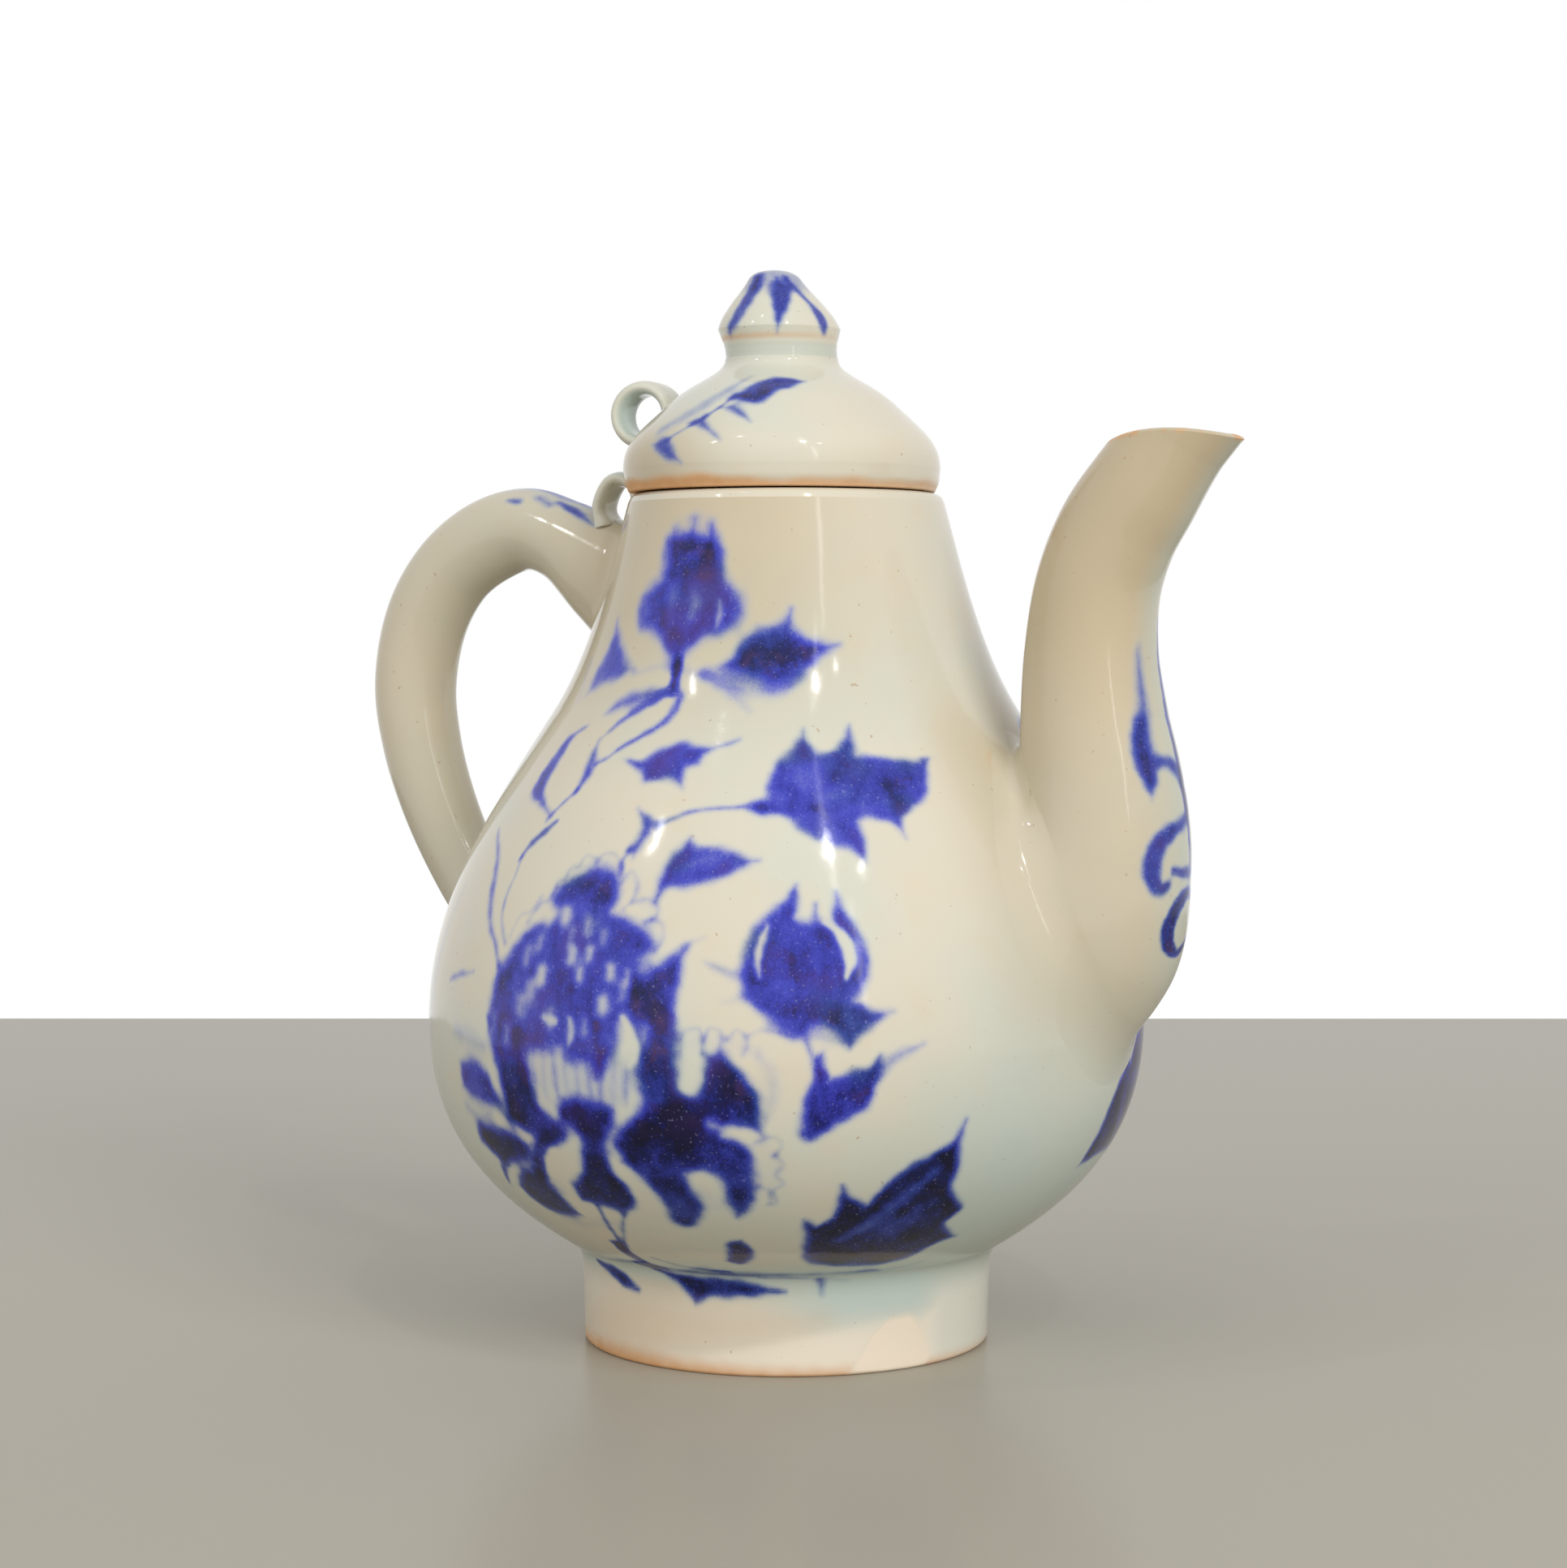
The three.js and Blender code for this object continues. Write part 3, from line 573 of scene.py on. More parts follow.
def paint_side_leaves(brush):
    brush.stroke(0.3, (-36.4, 98.9, 0.5), (-34, 98.5, 0.9), (-31.5, 98.2, 1.2))
    brush.shape(
        0.72, (-34, 98.5), (-31.5, 98.5), (-28.5, 100.3), (-25.6, 101.1), (-22.4, 101.8), (-19.3, 101.1),
        (-15.4, 101), (-10.4, 102), (-17.1, 99.8), (-18, 98.3), (-20.6, 97.4), (-20.6, 94.8), (-22.9, 95.7),
        (-26.5, 95.8), (-29.2, 95.5), (-30.5, 96.7), soft=0.7,
    )
    brush.stroke(
        0.5, (-4.5, 91.9, 1.4), (-7, 92, 1), (-10.2, 91.8, 0.9), (-14, 91.6, 0.9), (-17.8, 91.1, 1),
        (-20.6, 90.2, 1.1), (-23.4, 89, 1.4), soft=0.5,
    )
    brush.shape(
        0.66, (-28.6, 91.4), (-23.6, 89.5), (-24.4, 88), (-25.5, 86), (-27, 84.2), (-28.5, 85.2),
        (-27.4, 87), (-27, 88.5), soft=0.6,
    )
    brush.stroke(0.4, (-28, 85.2, 0.9), (-28.8, 83.5, 0.8), (-28.5, 81.5, 0.8), soft=0.5)
    brush.shape(
        0.72, (-21.3, 77.6), (-21.4, 80.8), (-20.5, 83.5), (-19.1, 85.5), (-17, 87.2), (-15.6, 86),
        (-12.6, 86.1), (-9.6, 85.5), (-7.3, 84.7), (-4.8, 83.9), (-7.5, 82.6), (-10.3, 81.4),
        (-13.6, 80.3), (-17.2, 79.6), (-19.4, 79.6), soft=0.7,
    )
    brush.stroke(-0.2, (-17, 83, 1), (-13, 84, 2.4), (-9, 83.8, 1), soft=0.8)


def paint_five_point_leaf(brush):
    brush.shape(
        0.7, (-6.8, 91.4), (-6.5, 92.7), (-4.2, 93.6), (-3.8, 95.1), (-2.8, 97.4), (-1.7, 99),
        (-0.3, 100), (1.7, 101.4), (3.8, 103.7), (5, 101.6), (6.7, 100.3), (9.5, 100.4), (12, 102.2),
        (14.2, 104.2), (14.7, 101.8), (15, 99.9), (19.6, 99.5), (25.3, 99.1), (30.4, 98.8), (29.8, 96.8),
        (28.4, 94.3), (26, 92.2), (21.8, 90.2), (21.4, 87.3), (19.6, 89.2), (17, 89.8), (14.5, 90),
        (13.2, 89.6), (13.7, 87.2), (13.5, 83.6), (10.9, 85.4), (8, 86.1), (5.4, 86.9), (2.5, 88.4),
        (0.7, 89.8), (-1.3, 90.7), (-4.3, 90.7), soft=0.65,
    )
    brush.stroke(0.2, (29.5, 98.9, 1), (34, 99.6, 0.4), soft=0.5)
    brush.stroke(-0.16, (1, 98.5, 2), (5, 95, 3), (11, 93.5, 2), soft=1.4)
    brush.stroke(0.3, (-4, 91.8, 1.2), (3, 91.4, 1.6), (9, 89.4, 1.6), (13, 85.5, 0.8), soft=0.9)
    brush.stroke(0.2, (4, 92.4, 1), (9, 96, 1.2), (13.6, 101.5, 0.8), soft=0.9)
    brush.stroke(0.2, (5, 92, 1), (14, 93.4, 1.6), (26, 96.6, 1.4), soft=1.1)
    brush.stroke(0.25, (21, 94.6, 4), (25.5, 95, 4), soft=1.6)


def paint_round_bud(brush):
    brush.shape(
        0.75, (1.5, 80.2), (1.9, 77.6), (1.7, 75.8), (3.3, 75.3), (4.1, 75.9), (4.6, 77.4), (5, 75.9),
        (5.8, 75.2), (7, 74.8), (7.3, 76.4), (8, 79.3), (9.1, 77), (10.7, 74.6), (12, 71.8), (12.5, 68.6),
        (11.9, 65.8), (10.4, 63.2), (12.4, 62), (15.7, 61.4), (13.5, 60), (11.1, 57.9), (9.2, 56.2),
        (7.2, 58.6), (5.2, 59.6), (3.6, 59.4), (2.6, 58.2), (1.1, 57.9), (-0.2, 58.7), (-2.2, 60.3),
        (-4.6, 62), (-6.2, 64), (-6.6, 66.4), (-6.7, 68.8), (-6.4, 71.2), (-4.8, 74.4), (-2.8, 76.3),
        (-0.3, 78.4), soft=0.7,
    )
    brush.stroke(-0.72, (-2.9, 74.2, 0.5), (-3.9, 71.8, 1.1), (-4.2, 69.4, 1), (-4, 66.8, 0.4), soft=0.5)
    brush.stroke(
        -0.92, (5.9, 74.9, 0.5), (7.8, 73.6, 1.3), (9.2, 71.4, 2), (9.5, 69, 1.7), (8.9, 66.6, 0.5), soft=0.5
    )
    brush.stroke(-0.3, (2.6, 75.4, 2.2), (5, 75.2, 1.6), soft=0.8)
    brush.stroke(0.4, (1.3, 68.5, 0.8), (1.6, 64, 1.6), (1.2, 60, 1), soft=0.8)
    brush.stroke(0.22, (-2, 62, 2), (3, 60, 4), (9, 59.6, 3), soft=1.4)
    brush.stroke(0.4, (-6, 66.6, 2.6), (-9, 67.6, 1.6), (-12.2, 68.8, 0.5), soft=0.9)
    brush.stroke(0.25, (-6, 63.6, 1.8), (-9.4, 63, 0.8), soft=0.9)
    brush.stroke(0.3, (1, 57.8, 2), (-2.4, 59.6, 1.6), (8, 57, 2), soft=1)
    brush.stroke(-0.2, (12.6, 61.4, 1), (15, 61.2, 1), soft=0.8)


def paint_three_point_leaf(brush):
    brush.shape(
        0.78, (2.9, 57), (3.9, 55), (5.3, 55.5), (5.6, 53.3), (6.4, 51.5), (8.4, 52.2), (10.3, 53),
        (12.3, 53.3), (13.6, 54.7), (13.5, 51.2), (12.7, 48.5), (11.5, 46.3), (9.6, 45.4), (7.6, 44.2),
        (5.7, 42.9), (3.6, 41.6), (1.9, 42.6), (2.3, 45.1), (2.5, 48.4), (3.7, 51.6), (3.6, 54.3), soft=0.65,
    )
    brush.stroke(0.42, (13.4, 52.4, 2.6), (15.8, 54.4, 2.2), (20.4, 56.4, 0.5), soft=0.8)
    brush.stroke(0.2, (3, 45, 3), (7, 47, 4), (11, 50, 2), soft=1.2)


def paint_foot_leaves(brush):
    brush.shape(
        0.86, (-12.2, 21.7), (-11.4, 23.9), (-8.6, 24.4), (-6.8, 22.6), (-7.6, 20.3), (-10.5, 19.4),
        (-13.1, 20), soft=0.6,
    )
    brush.shape(
        0.9, (3, 28.4), (5.5, 27.3), (7.7, 28.8), (8.9, 34.3), (10.8, 32.4), (13.6, 31), (16, 34.3),
        (19.5, 37.3), (23.2, 39.2), (25.8, 40.6), (27.8, 44), (27.5, 39.6), (28.4, 36.2), (28.1, 32.8),
        (32.2, 29), (30.5, 26.4), (35.6, 23.4), (31.5, 22.1), (28, 19.8), (22, 18.8), (15.7, 18.8),
        (8.2, 19.2), (4.1, 20.4), (3.4, 25), soft=0.7,
    )
    brush.stroke(-0.3, (10, 24.5, 1), (15, 27.5, 2.4), (20.5, 32.5, 1.6), (24.5, 36.5, 0.8), soft=1)
    brush.stroke(-0.25, (19, 26.5, 3), (23, 29, 2), soft=1.2)
    brush.stroke(
        0.46, (-46, 17.6, 1), (-28, 17, 2.2), (-12, 16.9, 2.6), (6, 17.2, 1.8), (22, 17.6, 1), soft=0.9,
    )
    brush.stroke(0.85, (-39, 17.6, 1.2), (-35.5, 17.2, 2), (-32, 17, 1), soft=0.7)
    brush.stroke(0.3, (16, 17.3, 1), (26, 17.4, 1.6), (34, 18.4, 0.8), soft=0.8)


def paint_edge_leaves(brush):
    """Leaves of the other side that reach round under and over the spout's root."""
    brush.shape(
        0.85, (71.6, 53), (69.3, 49), (68, 51.6), (66, 48.4), (63.6, 44.8), (61.5, 39.5), (60, 33),
        (68, 34), (78, 33.6), (88, 35.4), (86, 39), (94, 42), (91, 47), (96, 53), (86, 55), (79, 58.5),
        soft=0.7,
    )
    brush.shape(
        0.8, (69, 102.4), (73, 104.4), (79, 104.8), (86, 103), (92, 100.6), (84, 99.2), (76, 99.6), soft=0.6
    )


def paint_peony_heart(brush):
    brush.shape(
        0.73, (-41.3, 77.4), (-40.2, 79), (-38.1, 80.5), (-36.2, 81.4), (-34.5, 82.4), (-31.9, 82.5),
        (-29.6, 81.7), (-28.4, 80), (-27.9, 78.1), (-28.4, 76), (-26.4, 75.3), (-23.8, 74.4),
        (-21.4, 73), (-20.3, 71), (-20.9, 69), (-20.6, 66), (-22.4, 62), (-24.6, 60), (-25.2, 55.6),
        (-26.7, 53.2), (-29.1, 50.8), (-30.5, 52.8), (-33.6, 52.7), (-35.1, 54.5), (-38.2, 54.2),
        (-42, 54), (-44.8, 54.6), (-46, 57.2), (-51, 56.5), (-51.7, 58.8), (-51.3, 61.3), (-51.1, 64.1),
        (-50.2, 66.3), (-48.6, 68.4), (-46.8, 70.8), (-45.1, 72.5), (-42.7, 73.6), (-40.5, 73.6),
        (-39.6, 75), soft=0.8,
    )
    brush.shape(
        0.8, (-24.5, 67), (-21, 67.6), (-18.6, 69.2), (-15.3, 71), (-15.9, 65.5), (-16.5, 61.5),
        (-16, 57.5), (-15.7, 53.3), (-15.8, 49.3), (-13, 45), (-16, 38.5), (-22.7, 36.8), (-25.8, 38),
        (-27.5, 40), (-26, 43), (-23.2, 45), (-21.8, 47.7), (-22.4, 51.3), (-22.3, 55), (-23.8, 59.5),
        soft=0.8,
    )
    # Light spots among the petals
    for turn, height, width in (
        (-37.4, 74.9, 2.1), (-40.2, 65.7, 2.2), (-27.3, 66.9, 1.5), (-28.1, 61.8, 2), (-32.8, 66.2, 0.9),
        (-24.4, 66.4, 0.8), (-31.4, 69.4, 1.4), (-34.6, 69, 1.8),
    ):
        brush.stroke(-0.64, (turn, height + 0.6, width), (turn, height - 0.6, width), soft=0.85)
    for turn, height, width in (
        (-42, 63, 2.6), (-44, 60.8, 2), (-32.7, 73.4, 1.6), (-22, 68.3, 1.8), (-46.7, 55.9, 1.8),
        (-50, 57.5, 1.4), (-21, 57.6, 1.8), (-37.6, 59.3, 1.8), (-31, 58.5, 1.2), (-24.8, 64, 1.4),
        (-35.4, 71.8, 1.4), (-29.4, 72, 1), (-44, 68.5, 2.2), (-41.6, 70.6, 1.4),
    ):
        brush.stroke(-0.42, (turn, height + 0.8, width), (turn, height - 0.8, width), soft=0.9)
    brush.stroke(-0.55, (-33.8, 59.4, 0.9), (-33.4, 57.4, 1.3), (-33.8, 55.6, 0.8), soft=0.5)
    brush.stroke(-0.55, (-38.8, 59.2, 1), (-36.6, 58.8, 1.2), soft=0.5)
    brush.stroke(
        -0.85, (-24.6, 60.2, 0.4), (-23.3, 57.6, 1.4), (-22.6, 55, 1.3), (-23.4, 52.8, 0.6), soft=0.5,
    )
    # Darker touches
    brush.stroke(0.45, (-39, 78.4, 1), (-34.6, 79.6, 2.6), (-30.6, 78.6, 2.4), soft=1.1)
    brush.stroke(0.3, (-49.6, 62, 1.6), (-47.6, 66.4, 2), (-44.6, 70.6, 1.2), soft=1.1)
    brush.stroke(0.3, (-38, 68, 2), (-36, 64.5, 2.6), (-31, 63, 2), soft=1.2)
    brush.stroke(0.3, (-26, 71.8, 2.6), (-23.4, 71.2, 2), soft=1.2)
    brush.stroke(0.4, (-19.8, 64, 3), (-18.6, 60, 4), (-19, 56, 3), soft=1.4)
    brush.stroke(0.35, (-29.6, 59, 1.2), (-28.4, 55.5, 1.6), (-28.8, 52.5, 1), soft=0.9)


def paint_peony_skirt(brush):
    brush.shape(
        0.22, (-43, 54.5), (-34, 55), (-22.5, 54), (-22.2, 50), (-24.5, 46), (-30, 44.6), (-37.5, 44.6),
        (-41.5, 49),
    )
    for turn, top, foot, width in (
        (-41, 54, 48.5, 1), (-38.8, 54.5, 46.6, 0.9), (-37, 54, 45.6, 1.2), (-35, 54, 46, 0.8),
        (-32.6, 53, 47, 1), (-30.6, 53, 46.8, 0.8), (-28, 52, 47, 1.2), (-25.8, 53, 46, 0.9),
        (-24, 52, 47, 0.8),
    ):
        lean = 0.9 * sin(3 * turn)
        brush.stroke(
            0.2 + 0.08 * sin(2 * turn), (turn, top, width), (turn + lean, foot + 2 * lean, width * 0.5),
            soft=0.55,
        )
    brush.shape(
        0.85, (-51.4, 58), (-50.5, 53.5), (-49.3, 49.6), (-48.5, 46), (-48.2, 42.5), (-45, 40.8),
        (-40.2, 39.2), (-36.6, 39.8), (-35.1, 41), (-36.4, 42.8), (-38.4, 43.9), (-40.4, 45.8),
        (-41.2, 49), (-42.6, 53.2), (-44, 57), soft=0.75,
    )
    brush.shape(
        0.74, (-60.6, 50), (-56.5, 51.4), (-52.7, 50), (-50.6, 46.8), (-49.6, 44.6), (-56.5, 44.1),
        (-60.8, 46), soft=0.8,
    )
    brush.stroke(0.28, (-62, 55, 3), (-58, 54.6, 4), (-53, 53.4, 3), soft=1.2)
    brush.stroke(0.35, (-53, 48, 2), (-50, 44, 2.4), (-47.6, 41, 2), soft=1)
    brush.shape(
        0.86, (-58.5, 39.8), (-53, 40.6), (-48.6, 40.2), (-44.6, 38.6), (-45.6, 36.2), (-48.6, 35.6),
        (-54.5, 34.4), (-59.7, 37.2), soft=0.8,
    )
    brush.stroke(0.7, (-54.5, 34.6, 2.4), (-56.6, 32.6, 1.6), (-58.4, 30.2, 0.6))
    brush.shape(
        0.86, (-51.7, 32.7), (-48.5, 34), (-45, 34), (-44, 31.6), (-42.2, 29), (-41.2, 26.8), (-45, 26.2),
        (-49.2, 26.6), (-53, 28.2), (-54.6, 30.2), soft=0.7,
    )
    brush.stroke(0.8, (-40, 40.4, 3), (-43, 37.6, 2.8), (-45, 33.8, 3), soft=0.7)
    brush.stroke(0.3, (-60.5, 42.8, 3), (-57, 41.6, 2.6), (-53, 42.4, 2), soft=1.1)
    brush.stroke(0.4, (-58, 39, 3), (-52, 37, 5), (-46.5, 34.4, 5), (-42, 31, 2), soft=1.5)
    brush.stroke(0.3, (-24, 41, 3), (-18, 44, 6), (-11, 46, 5), soft=1.6)
    brush.stroke(0.24, (-52, 28, 3), (-44, 25, 3), (-34, 26, 2), soft=1.5)


def paint_peony_stem(brush):
    brush.shape(
        0.86, (-36.3, 45.6), (-35, 46.9), (-32.6, 47.3), (-29.5, 46.8), (-26.8, 45.6), (-26.6, 43.2),
        (-28.3, 40.6), (-28.6, 38), (-28.6, 35.8), (-26.8, 33.4), (-26.4, 30.2), (-30, 28.4),
        (-33, 29), (-38, 29.8), (-38.2, 32.5), (-34.7, 35.3), (-34, 38), (-33.4, 41), (-36.3, 43), soft=0.7,
    )
    brush.stroke(0.6, (-35, 29.2, 1), (-35.5, 26, 0.9), (-36.2, 23.2, 1.1), (-38.4, 20.6, 1.6), soft=0.5)
    brush.stroke(0.5, (-29.6, 28.6, 0.9), (-32, 25.7, 0.9), (-34.5, 23, 1), (-37, 21, 2), soft=0.5)
    brush.stroke(0.8, (-38.4, 21.8, 2), (-38, 19.4, 2.6), (-36, 18, 1.2), soft=0.6)
    brush.stroke(0.5, (-32, 19.4, 0.5), (-26, 18.2, 0.9), (-14, 17.6, 0.9), soft=0.6)


def paint_peony_right(brush):
    brush.shape(
        0.82, (-16.5, 48), (-13.7, 48.6), (-12.3, 50.6), (-11.7, 54.9), (-9.1, 55.2), (-7.2, 53.3),
        (-5.2, 51.2), (-4, 48.6), (-3.8, 45.2), (-3.9, 43), (-6.2, 43.8), (-8.5, 43.8), (-9.2, 42.6),
        (-5.9, 40.8), (-4.8, 37.7), (-4.9, 33.5), (-6.3, 29.8), (-8.5, 28.8), (-9.8, 31.2), (-10.1, 34),
        (-11.2, 35.8), (-13.6, 36.7), (-15.8, 35.9), (-15.3, 33.3), (-14, 30.5), (-15.7, 27.5),
        (-18.2, 26.6), (-20.7, 27.2), (-21, 30), (-22.2, 32.8), (-24, 35), (-26.2, 37.4), (-22, 44),
        soft=0.75,
    )
    brush.stroke(-0.5, (-11.6, 44.4, 1.4), (-8.4, 43.2, 1.5), (-4.4, 42.4, 1), soft=0.8)
    brush.stroke(0.4, (-9, 51.6, 2.4), (-6.6, 48.4, 3), (-6, 46, 2), soft=1.2)
    brush.stroke(0.18, (-13.4, 33, 3), (-11.6, 30.6, 2.4), soft=1)
    brush.stroke(-0.35, (-19.5, 40, 1), (-20.5, 38, 1.6), soft=0.9)
    brush.stroke(-0.3, (-22.5, 47.5, 1), (-21.8, 44, 1.6), (-24, 41.5, 1), soft=0.8)


def paint_scallops(brush):
    for line in (
        ((-41.5, 78), (-41.2, 79.8), (-39.8, 80.4), (-39.2, 82), (-37.6, 82.4), (-36.6, 84), (-34.4, 83.6)),
        ((-34, 83), (-33, 84.4), (-30.6, 84.4), (-28.6, 82.5)),
        ((-27.9, 80.4), (-26.6, 81.9), (-25, 80.3), (-25.3, 77.8), (-26.5, 76.5)),
        ((-25.2, 77.3), (-22.7, 77.9), (-20.8, 77), (-21, 75.2), (-22.4, 74.6)),
        ((-21.6, 75), (-19.6, 74.3), (-19.1, 72.2), (-20.2, 70.3)),
        ((-45.6, 73.5), (-43.6, 76.4), (-42, 77), (-41, 79)),
        ((-49, 71), (-47.6, 74.4), (-45.8, 75), (-44, 77.6)),
        ((-15.6, 55), (-15, 58.3), (-12.8, 58.9), (-12, 57.4), (-11.2, 59), (-9.6, 58.6), (-9.6, 55.5)),
        ((-8.6, 57.4), (-7, 58.8), (-5.6, 57), (-6.3, 55)),
        ((-12, 57.6), (-12.3, 55.2)),
        ((-5.6, 58), (-3.4, 58.8), (0, 58.2)),
        ((-4.5, 41.6), (-1.7, 42.4), (-0.7, 41), (-1.9, 39.4)),
        ((-1.6, 39.4), (-0.4, 38), (-1.5, 36.4), (-0.5, 34.8), (-2, 33.6), (-1.6, 31.6), (-3.2, 31)),
        ((-4.2, 34.4), (-2.8, 33.6), (-2.6, 31.6)),
    ):
        brush.stroke(0.26, *((turn, height, 0.8) for turn, height in line), soft=0.5)
    brush.stroke(0.13, (-14.6, 56.6, 3), (-10, 57, 2.6), (-4.6, 56, 2.4), soft=0.9)
    brush.stroke(
        0.24, (-3.9, 55, 1.4), (-2.7, 53, 2.6), (-1.9, 50.2, 2.8), (-2.3, 47.4, 2.4), (-2.9, 45, 1.2),
        soft=0.9,
    )
    brush.stroke(0.12, (-3, 41, 3), (-2.2, 36.4, 3), (-2.8, 32.6, 2), soft=1)
    brush.stroke(
        0.12, (-43, 76, 3), (-39, 81.4, 2), (-31.5, 83.4, 1.6), (-25, 79.4, 2.6), (-20.6, 74.4, 2.4),
        soft=1.1,
    )
    brush.stroke(0.25, (-15.4, 71.4, 1.4), (-12.4, 72.6, 0.5), soft=0.7)


SPRAY = (
    paint_neck_bud, paint_neck_leaves, paint_upper_stem, paint_side_leaves, paint_five_point_leaf,
    paint_round_bud, paint_three_point_leaf, paint_foot_leaves, paint_peony_skirt, paint_peony_right,
    paint_peony_heart, paint_peony_stem, paint_scallops,
)


def paint_lid_sprig(brush):
    """Heights are counted from the lid's edge."""
    brush.shape(
        0.8, (13.6, 17.5), (5, 18.1), (-5, 18.2), (-14.5, 17.4), (-21, 16.2), (-25.6, 14.6), (-18, 13.9),
        (-11.5, 13.4), (-6.7, 14.4), (-1.5, 15.8), (6, 16.4), soft=0.6,
    )
    brush.shape(
        0.62, (-27, 13), (-22.7, 13.5), (-17.5, 12.7), (-12.4, 10.4), (-16, 11.2), (-21, 11.9), soft=0.55,
    )
    brush.shape(
        0.62, (-40, 10.5), (-34.1, 11.9), (-30, 10.4), (-22.6, 7.5), (-28, 8.6), (-33, 9.6), soft=0.55,
    )
    brush.shape(
        0.66, (-54.4, 7.2), (-51, 8), (-47.6, 8.2), (-42.3, 6.9), (-37.6, 4), (-41, 4.2), (-44.5, 4.5),
        (-48, 5.2), (-51.5, 6.2), soft=0.6,
    )
    brush.stroke(0.5, (-24, 15, 1), (-29, 13, 0.8), (-36, 10.6, 0.8), (-46, 7.8, 0.8), soft=0.5)
    brush.stroke(0.36, (-22, 18.4, 1), (-30, 16, 2.6), (-42, 12.6, 3.4), (-54, 9.4, 2.4), soft=0.9)


def paint_knob_petals(brush):
    """Heights are counted from the lid's edge."""
    brush.shape(
        0.72, (-8, 33.8), (-6.5, 31), (-4.5, 28.9), (-2.5, 26), (2, 27.6), (9, 29.5), (17.8, 31.4),
        (23.6, 34.1), (6, 35.2), soft=0.5,
    )
    brush.stroke(
        0.66, (-39, 35.8, 1.8), (-38.5, 33.3, 2.6), (-41, 31.1, 2.9), (-46, 28.7, 2.8), (-56, 26.4, 1.6),
        soft=0.7,
    )
    brush.stroke(
        0.62, (24, 35.4, 1), (35, 33.2, 1.2), (42, 31.4, 1.4), (46, 29.4, 2.4), (47, 27.8, 2.5),
        (48, 26.2, 1.2), soft=0.6,
    )


def paint_foot_marks(brush):
    brush.stroke(0.8, (-62, 15.6, 0.8), (-57, 14.9, 1.9), (-52, 14, 2.4), (-47.5, 13, 2), (-44, 12.2, 0.8))
    brush.shape(
        0.88, (-36, 16.6), (-27, 16), (-15, 15.9), (-7, 15), (-0.5, 14), (-8, 13.2), (-16, 12.7),
        (-21, 12.6), (-25, 11.4), (-28.4, 13.6), soft=0.6,
    )
    brush.stroke(0.5, (8.6, 16, 1.4), (9.2, 14.8, 1.4), (9.4, 13.4, 0.8))
    brush.stroke(0.3, (-6, 16.6, 1), (4, 16.4, 1.6), (16, 15.8, 1), soft=0.8)


def paint_crook(brush):
    """Thick creamy glaze in the crook over the spout's root."""
    brush.stroke(0.3, (49, 98.4, 2), (54, 98.8, 3.2), (59, 100.2, 3), (64, 102, 2), soft=0.9)


def paint_foot_flush(brush):
    """Thin glaze along the edge."""
    brush.stroke(
        0.95, (-118, 0, 0.3), (-95, 0.4, 1.8), (-60, 0.5, 3.2), (-30, 0.4, 2.6), (0, 0.2, 1.8), (60, 0, 1),
        (110, 0, 0.4), soft=1.1,
    )
    brush.stroke(
        0.2, (-100, 3, 2), (-80, 4, 5), (-50, 6, 9), (-25, 7.4, 7), (-5, 8.6, 5), (10, 9.6, 2), soft=2,
    )


def paint_foot_patch(brush):
    brush.shape(
        1, (17.5, 0.4), (21, 4.2), (25.5, 7.4), (31, 9), (37, 8.4), (41, 5), (42.5, 1.4), (40, -0.4),
        (28, -0.6), soft=0.3,
    )


def paint_spout_marks(brush):
    """Degrees round the spout from its outer side, and millimetres of height."""
    brush.shape(
        0.55, (-23.5, 116), (-25.5, 112), (-29, 108), (-35, 104.6), (-39, 102.4), (-39.5, 99.4), (-37, 96.4),
        (-31.5, 92.8), (-26, 96), (-21, 100), (-19, 104.4), (-20, 110), soft=0.8,
    )
    brush.stroke(0.6, (-31, 105, 1.6), (-35, 101.6, 2.8), (-33, 98.6, 3.4), (-30, 95.6, 2.8), soft=0.9)
    brush.stroke(0.2, (-20, 117, 2), (-24, 112, 3), (-26, 106, 3), soft=1.2)


def paint_spout_scroll(brush):
    """On the photographed side, reaching round the spout's outer side."""
    brush.stroke(
        0.8, (16, 121, 0.8), (11, 112, 1.5), (8, 104, 1.8), (8, 97, 1.6), (9, 89, 1.4), (9, 82, 0.8),
        soft=0.5,
    )
    brush.stroke(
        0.72, (-19, 98.6, 2), (-8, 98.2, 2.6), (4, 96.4, 2.8), (10, 93.4, 2.6), (8, 90.6, 2.2),
        (-2, 88.8, 2.2), (-14, 88, 2.6), (-26, 86.2, 3.2), (-32.5, 83.4, 3.8), (-32, 80.4, 3.8),
        (-26, 78.6, 3), (-19, 79.4, 1.6), soft=0.8,
    )
    brush.stroke(0.7, (-15, 81.4, 1.6), (0, 81, 2.2), (16, 80.8, 2), soft=0.6)
    brush.stroke(
        0.8, (16, 77.4, 2.2), (4, 77.6, 2.8), (-8, 75.6, 3.6), (-15, 72.6, 4.2), (-12, 69.6, 4.4),
        (-2, 68.2, 3.4), (8, 69, 2.4), (16, 70.5, 1.8), soft=0.7,
    )


